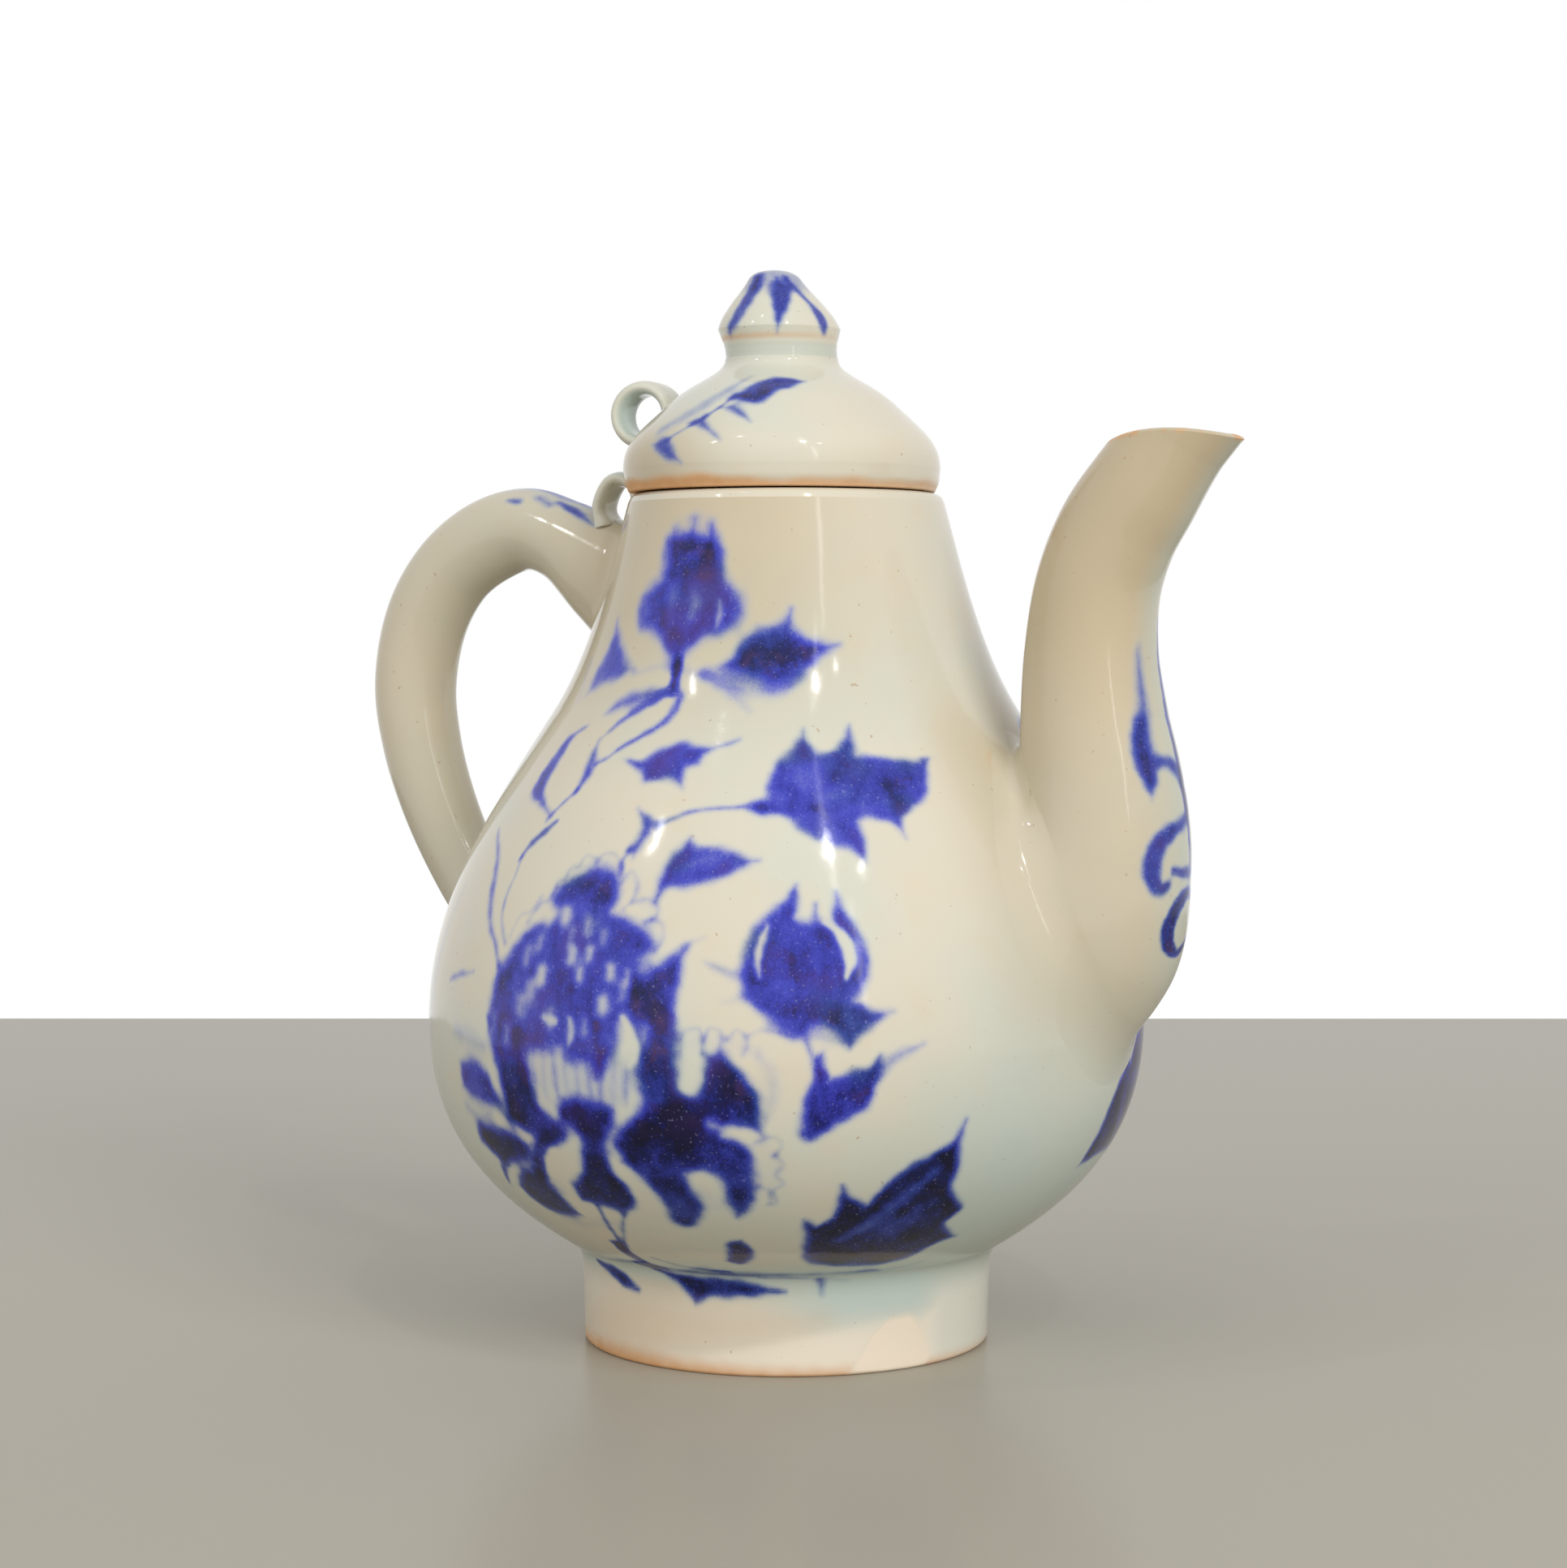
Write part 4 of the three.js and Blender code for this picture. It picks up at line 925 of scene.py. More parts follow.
def paint_handle_marks(brush):
    """Degrees round the handle and hundredths of the way along it from the neck."""
    brush.stroke(0.6, (-26, 18.5, 0.8), (-30, 16.2, 1.8), (-36, 13.4, 1.5), (-40, 11.6, 0.5), soft=0.6)
    brush.stroke(0.45, (-34, 21.5, 1.6), (-38, 19.4, 1.7), soft=0.7)
    brush.stroke(0.55, (-48, 25.6, 1), (-50, 24.2, 1.6), soft=0.6)
    brush.stroke(0.2, (-12, 10, 3), (-14, 20, 5), (-14, 30, 4), (-8, 42, 2), soft=1.4)
    brush.stroke(
        0.45, (0, 12, 0.8), (-6, 20, 1.6), (6, 28, 1.6), (-4, 36, 1.8), (4, 44, 1.2), (0, 52, 0.5),
        soft=0.7,
    )


# Body
def body_outlines():
    crown = joined(
        SIDE[-1:],
        smooth(
            [
                RIM_ROOT,
                (RIM_RADIUS - RIM_ROUNDING * 0.35, RIM_HEIGHT - RIM_ROUNDING * 0.35),
                (RIM_RADIUS - RIM_ROUNDING, RIM_HEIGHT),
                (MOUTH_RADIUS + RIM_ROUNDING * 0.5, RIM_HEIGHT),
                (MOUTH_RADIUS, RIM_HEIGHT - RIM_ROUNDING * 0.5),
                (MOUTH_RADIUS, RIM_HEIGHT - RIM_ROUNDING * 2.5),
            ],
            5,
        ),
    )
    crown[:, 1] = np.minimum(crown[:, 1], RIM_HEIGHT)
    inside = offset(pot_side(9, 9, 6), WALL)[::2][1:-1][::-1]
    floor_height = RECESS_HEIGHT + FLOOR_THICKNESS
    floor = [(CREASE_RADIUS * 0.6, floor_height + WALL * 0.3), (AXIS_RADIUS, floor_height)]
    inner = smooth([crown[-1], *inside, *floor], 9)
    radii = np.linspace(AXIS_RADIUS, CREASE_RADIUS, 36)
    under = np.stack([radii, underside_height(radii)], 1)
    return under, SIDE, joined(crown, inner)


def pot_glaze(azimuth, height):
    """How far the glaze is pooled, with painted shade low on the belly, and how far it is stained, with
    painted shade round the spout's root, at places on the pot.
    """
    turn = azimuth + PHOTO_SIDE
    photo_side = fade(turn, -150, -100)
    # Pooled glaze and painted shade: teal and a little darker, low on the belly on the right and along the
    # left side
    pooled_shade_right = fade(height, 70, 30) * fade(turn, 2, 42) * fade(turn, 150, 100)
    pooled_shade_left = fade(height, 75, 25) * fade(turn, -45, -75) * photo_side
    neck = fade(height, 92, 126) * fade(turn, 48, -14) * photo_side
    # Painted shade: darker beige glaze round the spout's root, between the belly and the spout
    root_shade = fade(np.abs(azimuth), 34, 16) * fade(height, 42, 64) * fade(height, 114, 98)
    pooled = np.maximum(fade(height, 21, 16), LOW_RIGHT_POOL_AND_SHADE * pooled_shade_right + LEFT_EDGE_POOL_AND_SHADE * pooled_shade_left)
    return pooled, np.maximum(NECK_STAIN * neck, ROOT_SHADE * root_shade)


def make_body():
    under, side, rest = body_outlines()
    grid = turned(side, POT_COLUMNS)
    azimuth, height = azimuths(grid), grid[..., 2]
    # Pooled glaze with painted shade low on the belly, and stain with painted shade round the spout's root
    pooled, stained = pot_glaze(azimuth, height)
    skin = Skin()
    skin.add(
        grid,
        (0.0, 0.7),
        cobalt=ink_on_both_sides(azimuth, height, side, SPRAY, (paint_edge_leaves,)),
        pool=pooled,
        stain=stained,
        clay=ink_on_photo_side(azimuth, height, side, paint_crook),
    )
    skin.add(turned(under, POT_COLUMNS), (0.71, 0.8))
    skin.add(turned(rest, POT_COLUMNS), (0.81, 1.0))
    return skin.object("porcelain_body")


# Foot ring
def foot_outline():
    inner_radius = FOOT_RADIUS - FOOT_THICKNESS
    seat_radii = np.linspace(CREASE_RADIUS - FOOT_THICKNESS, CREASE_RADIUS, 9)
    seat = np.stack([seat_radii, underside_height(seat_radii)], 1)[::-1]
    outer = arc((FOOT_RADIUS - FOOT_EDGE, FOOT_EDGE), FOOT_EDGE, -90, 0, 6)
    wall_outside = smooth(
        [(FOOT_RADIUS, FOOT_EDGE), (FOOT_RADIUS + FOOT_FLARE * 0.4, FOOT_HEIGHT * 0.5), CREASE], 14
    )
    low = wall_outside[:, 1] < FOOT_HEIGHT - FOOT_FILLET
    top = (pot_radius(FOOT_HEIGHT + FOOT_FILLET * 0.4) - SINK, FOOT_HEIGHT + FOOT_FILLET * 0.4)
    slip = bend_through(wall_outside[low][-1], CREASE, top, 12)
    wall_outside = joined(wall_outside[low], slip)
    wall_inside = line(seat[-1], (inner_radius, FOOT_EDGE), 16)
    inner = arc((inner_radius + FOOT_EDGE, FOOT_EDGE), FOOT_EDGE, 180, 270, 6)
    face = line(inner[-1], outer[0], 6)
    return joined(outer, wall_outside, seat, wall_inside, inner, face)[:-1]


def foot_marks(azimuth, height, outside):
    """Painting, bare clay and kinds of glaze on the foot ring, with painted light on its right side."""
    wall = np.vstack([[(FOOT_RADIUS, 0.0)], SIDE])
    paints = (paint_foot_marks, paint_foot_leaves, paint_peony_stem)
    cobalt = ink_on_both_sides(azimuth, height, wall, paints)
    flush = ink_on_photo_side(azimuth, height, wall, paint_foot_flush)
    patch = ink_on_photo_side(azimuth, height, wall, paint_foot_patch)
    flush = np.maximum(flush, np.where(outside, 0, fade(height, 4, 1)))
    flush = np.maximum(flush * (1 - patch), 0.08 * patch)
    turn = azimuth + PHOTO_SIDE
    edge = 3 + 6 * np.clip((turn + 25) / 50, 0, 1)  # height of the white glaze's slanting edge
    zone = smoothstep((edge - height) / 2.2 + 0.5) * fade(turn, -45, -25)
    # Painted light: the foot's right side made whiter and bluer, as if lit more brightly there
    lit_right = fade(turn, 36, 50) * fade(turn, 150, 110)
    white_and_lit = np.clip(FOOT_WHITE + 0.28 * zone + 0.52 * lit_right, 0, 1)
    white_and_lit = np.maximum(white_and_lit * fade(height, 15, 10), patch)
    sea_and_lit = fade(height, 5.5, 11.5) * fade(turn, -15, 15) * fade(turn, 130, 90)
    # On the right side the teal is part of the painted light
    sea_and_lit = np.maximum(FOOT_POOL * sea_and_lit * (1 - 0.5 * lit_right), 0.5 * lit_right) * (1 - patch)
    sea_and_lit = np.maximum(sea_and_lit, 0.8 * fade(height, 13.5, 16))
    dull = FOOT_DULL * fade(turn, 45, 5) * fade(turn, -75, -30) * fade(height, 15.5, 13.5) * (1 - zone)
    return {
        "cobalt": cobalt * outside,
        "clay": flush,
        "pool": sea_and_lit * outside,
        "stain": dull,
        "pale_and_painted_light": white_and_lit * (1 - 0.7 * dull),
    }


def make_foot():
    grid = turned(foot_outline(), FOOT_COLUMNS)
    outside = np.hypot(grid[..., 0], grid[..., 1]) > FOOT_RADIUS - FOOT_EDGE
    skin = Skin()
    skin.add(grid, round_columns=True, **foot_marks(azimuths(grid), grid[..., 2], outside))
    return skin.object("porcelain_foot")


def first_rise(t, values):
    """The t at which each column of values first rises past nought."""
    first = np.clip((values >= 0).argmax(0), 1, len(values) - 1)
    columns = np.arange(values.shape[1])
    before, after = values[first - 1, columns], values[first, columns]
    share = np.clip(before / (before - after), 0, 1)
    t = np.broadcast_to(t, values.shape)
    return t[first - 1, columns] * (1 - share) + t[first, columns] * share


class Limb:
    """Bent limb in the XZ plane with an oval section that changes along its length."""

    def __init__(self, stations):
        stations = np.array(stations)
        self.line, self.depths, self.widths = stations[:, :2], stations[:, 2], stations[:, 3]

    def girth(self, values, t):
        last = len(values) - 1
        place = np.clip(t, 0, 1) * last
        i = np.floor(place).astype(int)
        w = place - i
        a = values[np.where(i == 0, 0, np.clip(i - 1, 0, last))]
        b, c = values[np.clip(i, 0, last)], values[np.clip(i + 1, 0, last)]
        d = values[np.clip(i + 2, 0, last)]
        leave, arrive = (c - a) / 2, (d - b) / 2
        curve = (2 * b - 2 * c + leave + arrive) * w**3 + (-3 * b + 3 * c - 2 * leave - arrive) * w**2
        return curve + leave * w + b

    def tangent(self, t):
        along = catmull(self.line, np.minimum(t + STEP, 1)) - catmull(self.line, np.maximum(t - STEP, 0))
        return along / np.linalg.norm(along, axis=1)[:, None]

    def at(self, t, angle, inset=0.0):
        """Points of the skin, or of a skin deeper by inset, at places along the limb and angles round it."""
        t, angle = np.broadcast_arrays(np.asarray(t, float), np.asarray(angle, float))
        shape = t.shape
        t, angle = t.ravel(), angle.ravel()
        along, middle = self.tangent(t), catmull(self.line, t)
        depth = (self.girth(self.depths, t) - inset) * np.cos(angle)
        x = middle[:, 0] + along[:, 1] * depth
        z = middle[:, 1] - along[:, 0] * depth
        y = (self.girth(self.widths, t) - inset) * np.sin(angle)
        return np.stack([x, y, z], 1).reshape(*shape, 3)

    def landing(self, start, end, angles, inset=0.0):
        """Places where the skin comes down to the pot, looking from one place to another."""
        t = np.linspace(start, end, SEARCH_STEPS + 1)[:, None]
        return first_rise(t, SEAM - height_over_pot(self.at(t, angles[None, :], inset)))

    def before(self, landing, start, angles, distance):
        """Places along the limb that lie a given distance before its landings."""
        share = np.linspace(0, 1, SEARCH_STEPS + 1)[:, None]
        t = landing[None, :] * (1 - share) + start * share
        away = np.linalg.norm(self.at(t, angles[None, :]) - self.at(landing, angles)[None], axis=2)
        return first_rise(t, away - distance)


def height_over_pot(p):
    return np.hypot(p[..., 0], p[..., 1]) - pot_radius(p[..., 2])


def onto_pot(p, lift=0.0):
    turn = np.arctan2(p[..., 1], p[..., 0])
    r = pot_radius(p[..., 2]) + lift
    return np.stack([r * np.cos(turn), r * np.sin(turn), p[..., 2]], -1)


def fillet_rings(limb, start, end, blend, sides, steps):
    """Rings of the slip fillet from a limb's skin down on to the pot."""
    angles = np.linspace(0, 2 * pi, sides, endpoint=False)
    landings = limb.landing(start, end, angles)
    feet = onto_pot(limb.at(landings, angles), SEAM)
    away = feet - feet.mean(0)
    away /= np.linalg.norm(away, axis=1)[:, None]
    edges = onto_pot(feet + away * blend, -SINK)
    starts = limb.before(landings, start, angles, blend)
    tops = limb.at(starts, angles)
    s = (np.arange(1, steps + 1) / steps)[:, None, None]
    rings = (1 - s) ** 2 * tops + 2 * s * (1 - s) * feet + s**2 * edges
    low = height_over_pot(rings) < -SINK
    rings[low] = onto_pot(rings[low], -SINK)
    return angles, starts, rings


# Spout
SPOUT_LIP_HEIGHT = RIM_HEIGHT + SPOUT_LIP_RISE
spout_limb = Limb(SPOUT_STATIONS)


def spout_points(t, angles, inset=0.0):
    """The spout's skin. Past its last station it runs straight on."""
    t, angles = np.broadcast_arrays(t, angles)
    along = spout_limb.tangent(np.array([1.0]))[0]
    beyond = np.maximum(t - 1, 0)[..., None] * RUN_ON
    return spout_limb.at(np.minimum(t, 1), angles, inset) + beyond * np.array([along[0], 0, along[1]])


def lip_drop(x):
    """How much lower than its top the lip is, on the handle's side and towards the tip."""
    across = x - SPOUT_STATIONS[-1][0]
    return SPOUT_LIP_DROP * np.minimum(across, 0) ** 2, SPOUT_LIP_DROP * np.maximum(across, 0) ** 2


def lip_places(angles, inset=0.0):
    """How far along the spout its skin reaches the lip."""
    t = np.linspace(0.7, 1.5, SEARCH_STEPS + 1)[:, None]
    points = spout_points(t, angles[None, :], inset)
    return first_rise(t, points[..., 2] - SPOUT_LIP_HEIGHT + lip_drop(points[..., 0])[0])


def lowered(points, t, ends):
    """Points with the lip brought down towards its tip."""
    points[..., 2] -= lip_drop(points[..., 0])[1] * smoothstep((t - LIP_START) / (ends - LIP_START))
    return points


LIMB_SHARES = np.linspace(0, 1, 201)


def limb_paint(limb, angles, places, scale, both_sides, near_side=None):
    """Painting on a limb: the marks' places along it are read on a scale of LIMB_SHARES."""
    girth = (limb.girth(limb.depths, LIMB_SHARES) + limb.girth(limb.widths, LIMB_SHARES)) / 2
    lengths = path_lengths(catmull(limb.line, LIMB_SHARES))
    turn = np.degrees((angles + pi) % (2 * pi) - pi)
    turn, places = np.broadcast_arrays(turn[None, :], places)
    bare = np.ones(places.shape)
    for side in (1, -1):
        brush = Brush(turn * side, places, np.stack([girth, scale], 1), lengths)
        both_sides(brush)
        if near_side and side == 1:
            near_side(brush)
        bare = bare * brush.uncovered
    return 1 - bare


def limb_glaze(grid, pooled, stained):
    """Marks of a limb's own glaze, which go over into the pot's where the limb meets it, painted shade round
    the spout's root included.
    """
    away = smoothstep(height_over_pot(grid) / LIMB_BLEND)
    pot_pooled, pot_stained = pot_glaze(azimuths(grid), grid[..., 2])
    return {
        "pool": pot_pooled * (1 - away) + pooled * away,
        "stain": pot_stained * (1 - away) + stained * away,
    }


def worn_lip(grid):
    """Brown where the glaze is worn off the lip."""
    x, y, z = (grid[..., axis] for axis in range(3))
    under = SPOUT_LIP_HEIGHT - sum(lip_drop(x)) - z
    angle = np.arctan2(y, x - SPOUT_STATIONS[-1][0])
    patches = np.sin(2 * angle + 0.6) + np.sin(5 * angle + 1)
    patches += 0.8 * np.sin(11 * angle + 2 + x) + 0.5 * np.sin(23 * angle + y)
    return LIP_WEAR * fade(patches, -0.6, 1.2) * fade(under, 0.7, 0)


def make_spout():
    angles, starts, fillet = fillet_rings(spout_limb, 1, 0, SPOUT_BLEND, SPOUT_SIDES, 24)
    f = np.linspace(0, 1, LIMB_ROWS)[:, None]
    ends = lip_places(angles)
    t = ends * (1 - f) + starts * f
    outer = lowered(spout_points(t, angles), t, ends)
    bore_ends = spout_limb.landing(1, 0, angles, SPOUT_WALL)
    g = np.linspace(0, 1, 90)[:, None]
    ends = lip_places(angles, SPOUT_WALL)
    t = bore_ends * (1 - g) + ends * g
    bore = lowered(spout_points(t, angles, SPOUT_WALL), t, ends)
    bore[0] = onto_pot(bore[0], -SINK)
    h = np.linspace(0, 1, 8)[:, None, None]
    seat = onto_pot(fillet[-1][None] * (1 - h) + bore[0][None] * h, -SINK)
    q = np.linspace(0, 1, 11)[:, None, None]
    crest = bore[-1][None] * (1 - q) + outer[0][None] * q
    crest[..., 2] += SPOUT_WALL * 0.2 * np.sin(q[..., 0] * pi) ** 0.6
    skin = np.vstack([outer, fillet])
    inner = np.vstack([seat[1:], bore[1:], crest[1:-1]])
    heights = catmull(spout_limb.line, LIMB_SHARES)[:, 1]
    cobalt = limb_paint(spout_limb, angles, skin[..., 2], heights, paint_spout_marks, paint_spout_scroll)
    around = np.degrees(np.abs((angles + pi) % (2 * pi) - pi))
    stained = SPOUT_STAIN + (1 - SPOUT_STAIN) * fade(skin[..., 2], 90, 125)
    glaze = limb_glaze(skin, SPOUT_POOL * fade(around, 36, -4), stained)
    marks = {"cobalt": cobalt, "clay": worn_lip(skin), **glaze}
    closed_inner = np.vstack([skin[-1:], inner, skin[:1]])[::-1]
    made = Skin()
    made.add(skin[::-1], (0.0, 0.7), **{name: values[::-1] for name, values in marks.items()})
    made.add(closed_inner, (0.71, 1.0), clay=worn_lip(closed_inner), stain=1.0)
    return made.object("porcelain_spout")


# Handle
handle_limb = Limb(HANDLE_STATIONS)


def make_handle():
    middle = 0.5
    angles, upper_starts, upper = fillet_rings(handle_limb, middle, 0, HANDLE_BLEND, HANDLE_SIDES, 16)
    _, lower_starts, lower = fillet_rings(handle_limb, middle, 1, HANDLE_BLEND, HANDLE_SIDES, 16)
    f = np.linspace(0, 1, LIMB_ROWS)[:, None]
    t = upper_starts * (1 - f) + lower_starts * f
    shaft = handle_limb.at(t, angles[None, :])
    caps = []
    for edge in (upper[-1], lower[-1]):
        tip = edge.mean(0)
        share = np.linspace(0, 0.999, 6)[1:, None, None]
        caps.append(onto_pot(edge[None] * (1 - share) + tip * share, -SINK))
    before, after = len(caps[0]) + len(upper), len(lower) + len(caps[1])
    t = np.vstack([np.repeat(t[:1], before, 0), t, np.repeat(t[-1:], after, 0)])
    cobalt = limb_paint(handle_limb, angles, t * 100, LIMB_SHARES * 100, paint_handle_marks)
    grid = np.vstack([caps[0][::-1], upper[::-1], shaft, lower, caps[1]])
    skin = Skin()
    skin.add(grid, cobalt=cobalt, **limb_glaze(grid, 0.0, HANDLE_STAIN))
    return skin.object("porcelain_handle")


# Loops
def strap(places, thickness, width, turn, pivot, flare):
    """Strap with rounded edges along a curve in the XZ plane, widened where it is stuck on."""
    t = np.linspace(0, 1, 121)
    middle = catmull(places, t)
    along = catmull(places, t + STEP) - catmull(places, t - STEP)
    along /= np.linalg.norm(along, axis=1)[:, None]
    outward = np.stack([along[:, 1], -along[:, 0]], 1)
    angles = np.linspace(0, 2 * pi, STRAP_SIDES, endpoint=False)
    across = np.sign(np.sin(angles)) * np.abs(np.sin(angles)) ** 0.6
    grown = 1 + flare[0] * np.exp(-((t / 0.07) ** 2)) + flare[1] * np.exp(-(((1 - t) / 0.07) ** 2))
    depth = (thickness / 2 * grown)[:, None] * np.cos(angles)
    x = middle[:, 0][:, None] + outward[:, 0][:, None] * depth
    z = middle[:, 1][:, None] + outward[:, 1][:, None] * depth
    y = (width / 2 * (0.75 + 0.25 * grown))[:, None] * across
    c, s = cos(radians(turn)), sin(radians(turn))
    rings = np.stack([pivot + (x - pivot) * c - y * s, (x - pivot) * s + y * c, z], 2)
    caps = [np.repeat(ring.mean(0)[None], STRAP_SIDES, 0)[None] for ring in (rings[0], rings[-1])]
    caps = [ring * 0.001 + cap * 0.999 for ring, cap in zip((rings[0], rings[-1]), caps)]
    return np.vstack([caps[0], rings, caps[1]])


def neck_loop_grid():
    thick = NECK_LOOP_THICKNESS
    neck = -(RIM_RADIUS + SEAM + thick / 2)
    foot_x = -(RIM_RADIUS + NECK_LOOP_SPAN + thick / 2)
    top = RIM_HEIGHT + NECK_LOOP_RISE
    places = [
        (foot_x + thick * 0.16, RIM_HEIGHT - thick * 2),
        (foot_x - thick * 0.24, RIM_HEIGHT - thick * 0.56),
        (foot_x + thick * 0.56, top - thick * 0.76),
        ((foot_x + neck) / 2, top - thick * 0.5),
        (neck - thick * 0.44, top - thick * 1.04),
        (neck - thick * 0.08, RIM_HEIGHT - thick * 0.6),
        (neck - thick * 0.24, RIM_HEIGHT - thick * 2.4),
    ]
    return strap(places, thick, NECK_LOOP_WIDTH, NECK_LOOP_TURN, neck, (0.5, 0.2))


def make_loop(name, grid, inside, shift=0.0):
    """A strap with its glaze pooled inside the loop, which lies to one side or the other."""
    angles = np.linspace(0, 2 * pi, STRAP_SIDES, endpoint=False)
    pooled = STRAP_POOL * smoothstep(-0.1 - 1.3 * np.cos(angles))
    skin = Skin()
    skin.add(grid, pool=pooled[::inside])
    return skin.object(name, shift)


# Lid
LID_BULGE = (LID_RADIUS, LID_BASE + LID_BULGE_HEIGHT)
LID_HAUNCH = (LID_HAUNCH_RADIUS, LID_BASE + LID_HAUNCH_HEIGHT)
LID_CROWN = (LID_CROWN_RADIUS, LID_BASE + LID_CROWN_HEIGHT)
FLANGE_RADIUS = MOUTH_RADIUS - FLANGE_CLEARANCE


def lid_side(edge, lower, upper):
    return joined(
        smooth(
            [
                (LID_EDGE_RADIUS, LID_BASE + LID_EDGE_ROUNDING),
                (LID_RADIUS * 0.99, LID_BASE + LID_BULGE_HEIGHT * 0.45),
                LID_BULGE,
            ],
            edge,
        ),
        run(LID_BULGE, leaning(0), LID_HAUNCH, leaning(LID_HAUNCH_LEAN), (0.34, 0.5), lower),
        run(LID_HAUNCH, leaning(LID_HAUNCH_LEAN), LID_CROWN, leaning(LID_CROWN_LEAN), (0.5, 0.22), upper),
    )


LID_SIDE = lid_side(*LID_STEPS)


def lid_outlines():
    ledge = FLANGE_RADIUS - FLANGE_THICKNESS
    inside = offset(lid_side(1, 7, 5), LID_WALL)
    inside = inside[inside[:, 0] < ledge - LID_EDGE_ROUNDING][::-1]
    top = line(LID_CROWN, (AXIS_RADIUS, LID_CROWN[1]), 8)
    edge = (LID_EDGE_RADIUS - LID_EDGE_ROUNDING, LID_BASE)
    outside = joined(
        line((ledge, LID_BASE), edge, 6),
        arc((edge[0], edge[1] + LID_EDGE_ROUNDING), LID_EDGE_ROUNDING, -90, 0, 4),
        LID_SIDE,
        top,
    )
    hollow = smooth([(AXIS_RADIUS, inside[0][1] - LID_WALL * 0.2), *inside, (ledge, LID_BASE)], 6)
    return outside, hollow


def make_lid():
    outside, hollow = lid_outlines()
    grid = turned(outside, LID_COLUMNS)
    azimuth, height = azimuths(grid), grid[..., 2] - LID_BASE
    cobalt = ink_on_both_sides(azimuth, height, LID_SIDE - (0, LID_BASE), (paint_lid_sprig,))
    angle = np.radians(azimuth)
    barest = np.cos(angle + radians(LID_EDGE_TURN))
    bare_top = 1.3 + 0.3 * np.sin(3 * angle + 1) + 0.25 * np.sin(7 * angle) + 0.15 * np.sin(19 * angle)
    bare_top = bare_top + 0.3 * barest
    bare = smoothstep((bare_top - height) / 1.8 + 0.5) * (0.76 + 0.24 * barest)
    turn = azimuth + PHOTO_SIDE
    stained = LID_STAIN * fade(turn, -8, -58) * fade(turn, -150, -100) * fade(height, 15, 6)
    skin = Skin()
    skin.add(grid, (0.0, 0.75), cobalt=cobalt, clay=bare, stain=stained)
    skin.add(turned(hollow, LID_COLUMNS), (0.76, 1.0), clay=0.6)
    return skin.object("porcelain_lid", LID_SHIFT)


def flange_outline():
    top, bottom = LID_BASE - SEAM, LID_BASE - FLANGE_DEPTH
    inner_radius = FLANGE_RADIUS - FLANGE_THICKNESS
    e = FLANGE_EDGE
    return joined(
        line((inner_radius, top), (inner_radius + e * 0.25, bottom + e * 0.6), 10),
        smooth(
            [
                (inner_radius + e * 0.25, bottom + e * 0.6),
                (inner_radius + e, bottom),
                (FLANGE_RADIUS - e * 1.6, bottom),
                (FLANGE_RADIUS - e * 0.6, bottom + e * 0.75),
                (FLANGE_RADIUS - e * 0.3, bottom + e * 2),
            ],
            4,
        ),
        line((FLANGE_RADIUS - e * 0.3, bottom + e * 2), (FLANGE_RADIUS, top - e), 8),
        line((FLANGE_RADIUS, top - e), (FLANGE_RADIUS, top), 2),
        line((FLANGE_RADIUS, top), (inner_radius, top), 4),
    )[:-1]


def make_flange():
    skin = Skin()
    skin.add(turned(flange_outline(), KNOB_COLUMNS), round_columns=True, clay=1.0)
    return skin.object("porcelain_lid_flange", LID_SHIFT)


# Knob
KNOB_BASE = LID_BASE + LID_CROWN_HEIGHT + SEAM


def knob_outline():
    shares = np.array(BUD_OUTLINE)
    over = COLLAR_HEIGHT + BUD_HEIGHT - BUD_SHOULDER
    bud = smooth(np.stack([BUD_RADIUS * shares[:, 0], BUD_SHOULDER + over * shares[:, 1]], 1), 9)
    depths = np.array([KNOB_FILLET, KNOB_FILLET - 0.3])
    radii = np.interp(LID_CROWN[1] - depths, LID_SIDE[:, 1], LID_SIDE[:, 0])
    low, next_up = np.stack([radii - SINK * 0.3, -SEAM - depths], 1)
    leave = (next_up - low) / np.linalg.norm(next_up - low)
    collar = (COLLAR_RADIUS * 1.01, COLLAR_HEIGHT * 0.4)
    fillet = run(low, leave, collar, leaning(0), (0.5, 0.4), 14)
    waist = [(COLLAR_RADIUS * 1.03, COLLAR_HEIGHT * 0.72), (BUD_RADIUS * 0.96, COLLAR_HEIGHT)]
    lower = joined(fillet, smooth([collar, *waist, bud[0]], 7))
    base = -SEAM - SINK
    seat = line((AXIS_RADIUS, base), (COLLAR_RADIUS, base), 6)
    under = (low[0] - SINK * 4, low[1])
    return joined(seat, line(seat[-1], under, 2), line(under, lower[0], 1), lower, bud)


def make_knob():
    side = knob_outline()
    grid = turned(side, KNOB_COLUMNS)
    azimuth, height = azimuths(grid), grid[..., 2] + KNOB_BASE - LID_BASE
    rising = side[side[:, 1] >= 0] + (0, KNOB_BASE - LID_BASE)
    cobalt = ink_on_both_sides(azimuth, height, rising, (paint_knob_petals,))
    cobalt = 1 - (1 - cobalt) * (1 - 0.34 * fade(height, 31.6, 34.6))
    barest = np.cos(np.radians(azimuth + LID_EDGE_TURN))
    bare = np.exp(-(((height - 25.6) / 0.5) ** 2)) * (0.3 + 0.22 * barest)
    collar = fade(height, 25.2, 24) * fade(height, 20.8, 21.4)
    grid[..., 0] -= tan(radians(KNOB_LEAN)) * np.maximum(grid[..., 2], 0)
    grid[..., 2] += KNOB_BASE
    skin = Skin()
    skin.add(grid, cobalt=cobalt, clay=bare, pool=COLLAR_POOL * collar, stain=0.5 * collar)
    return skin.object("porcelain_knob", LID_SHIFT)


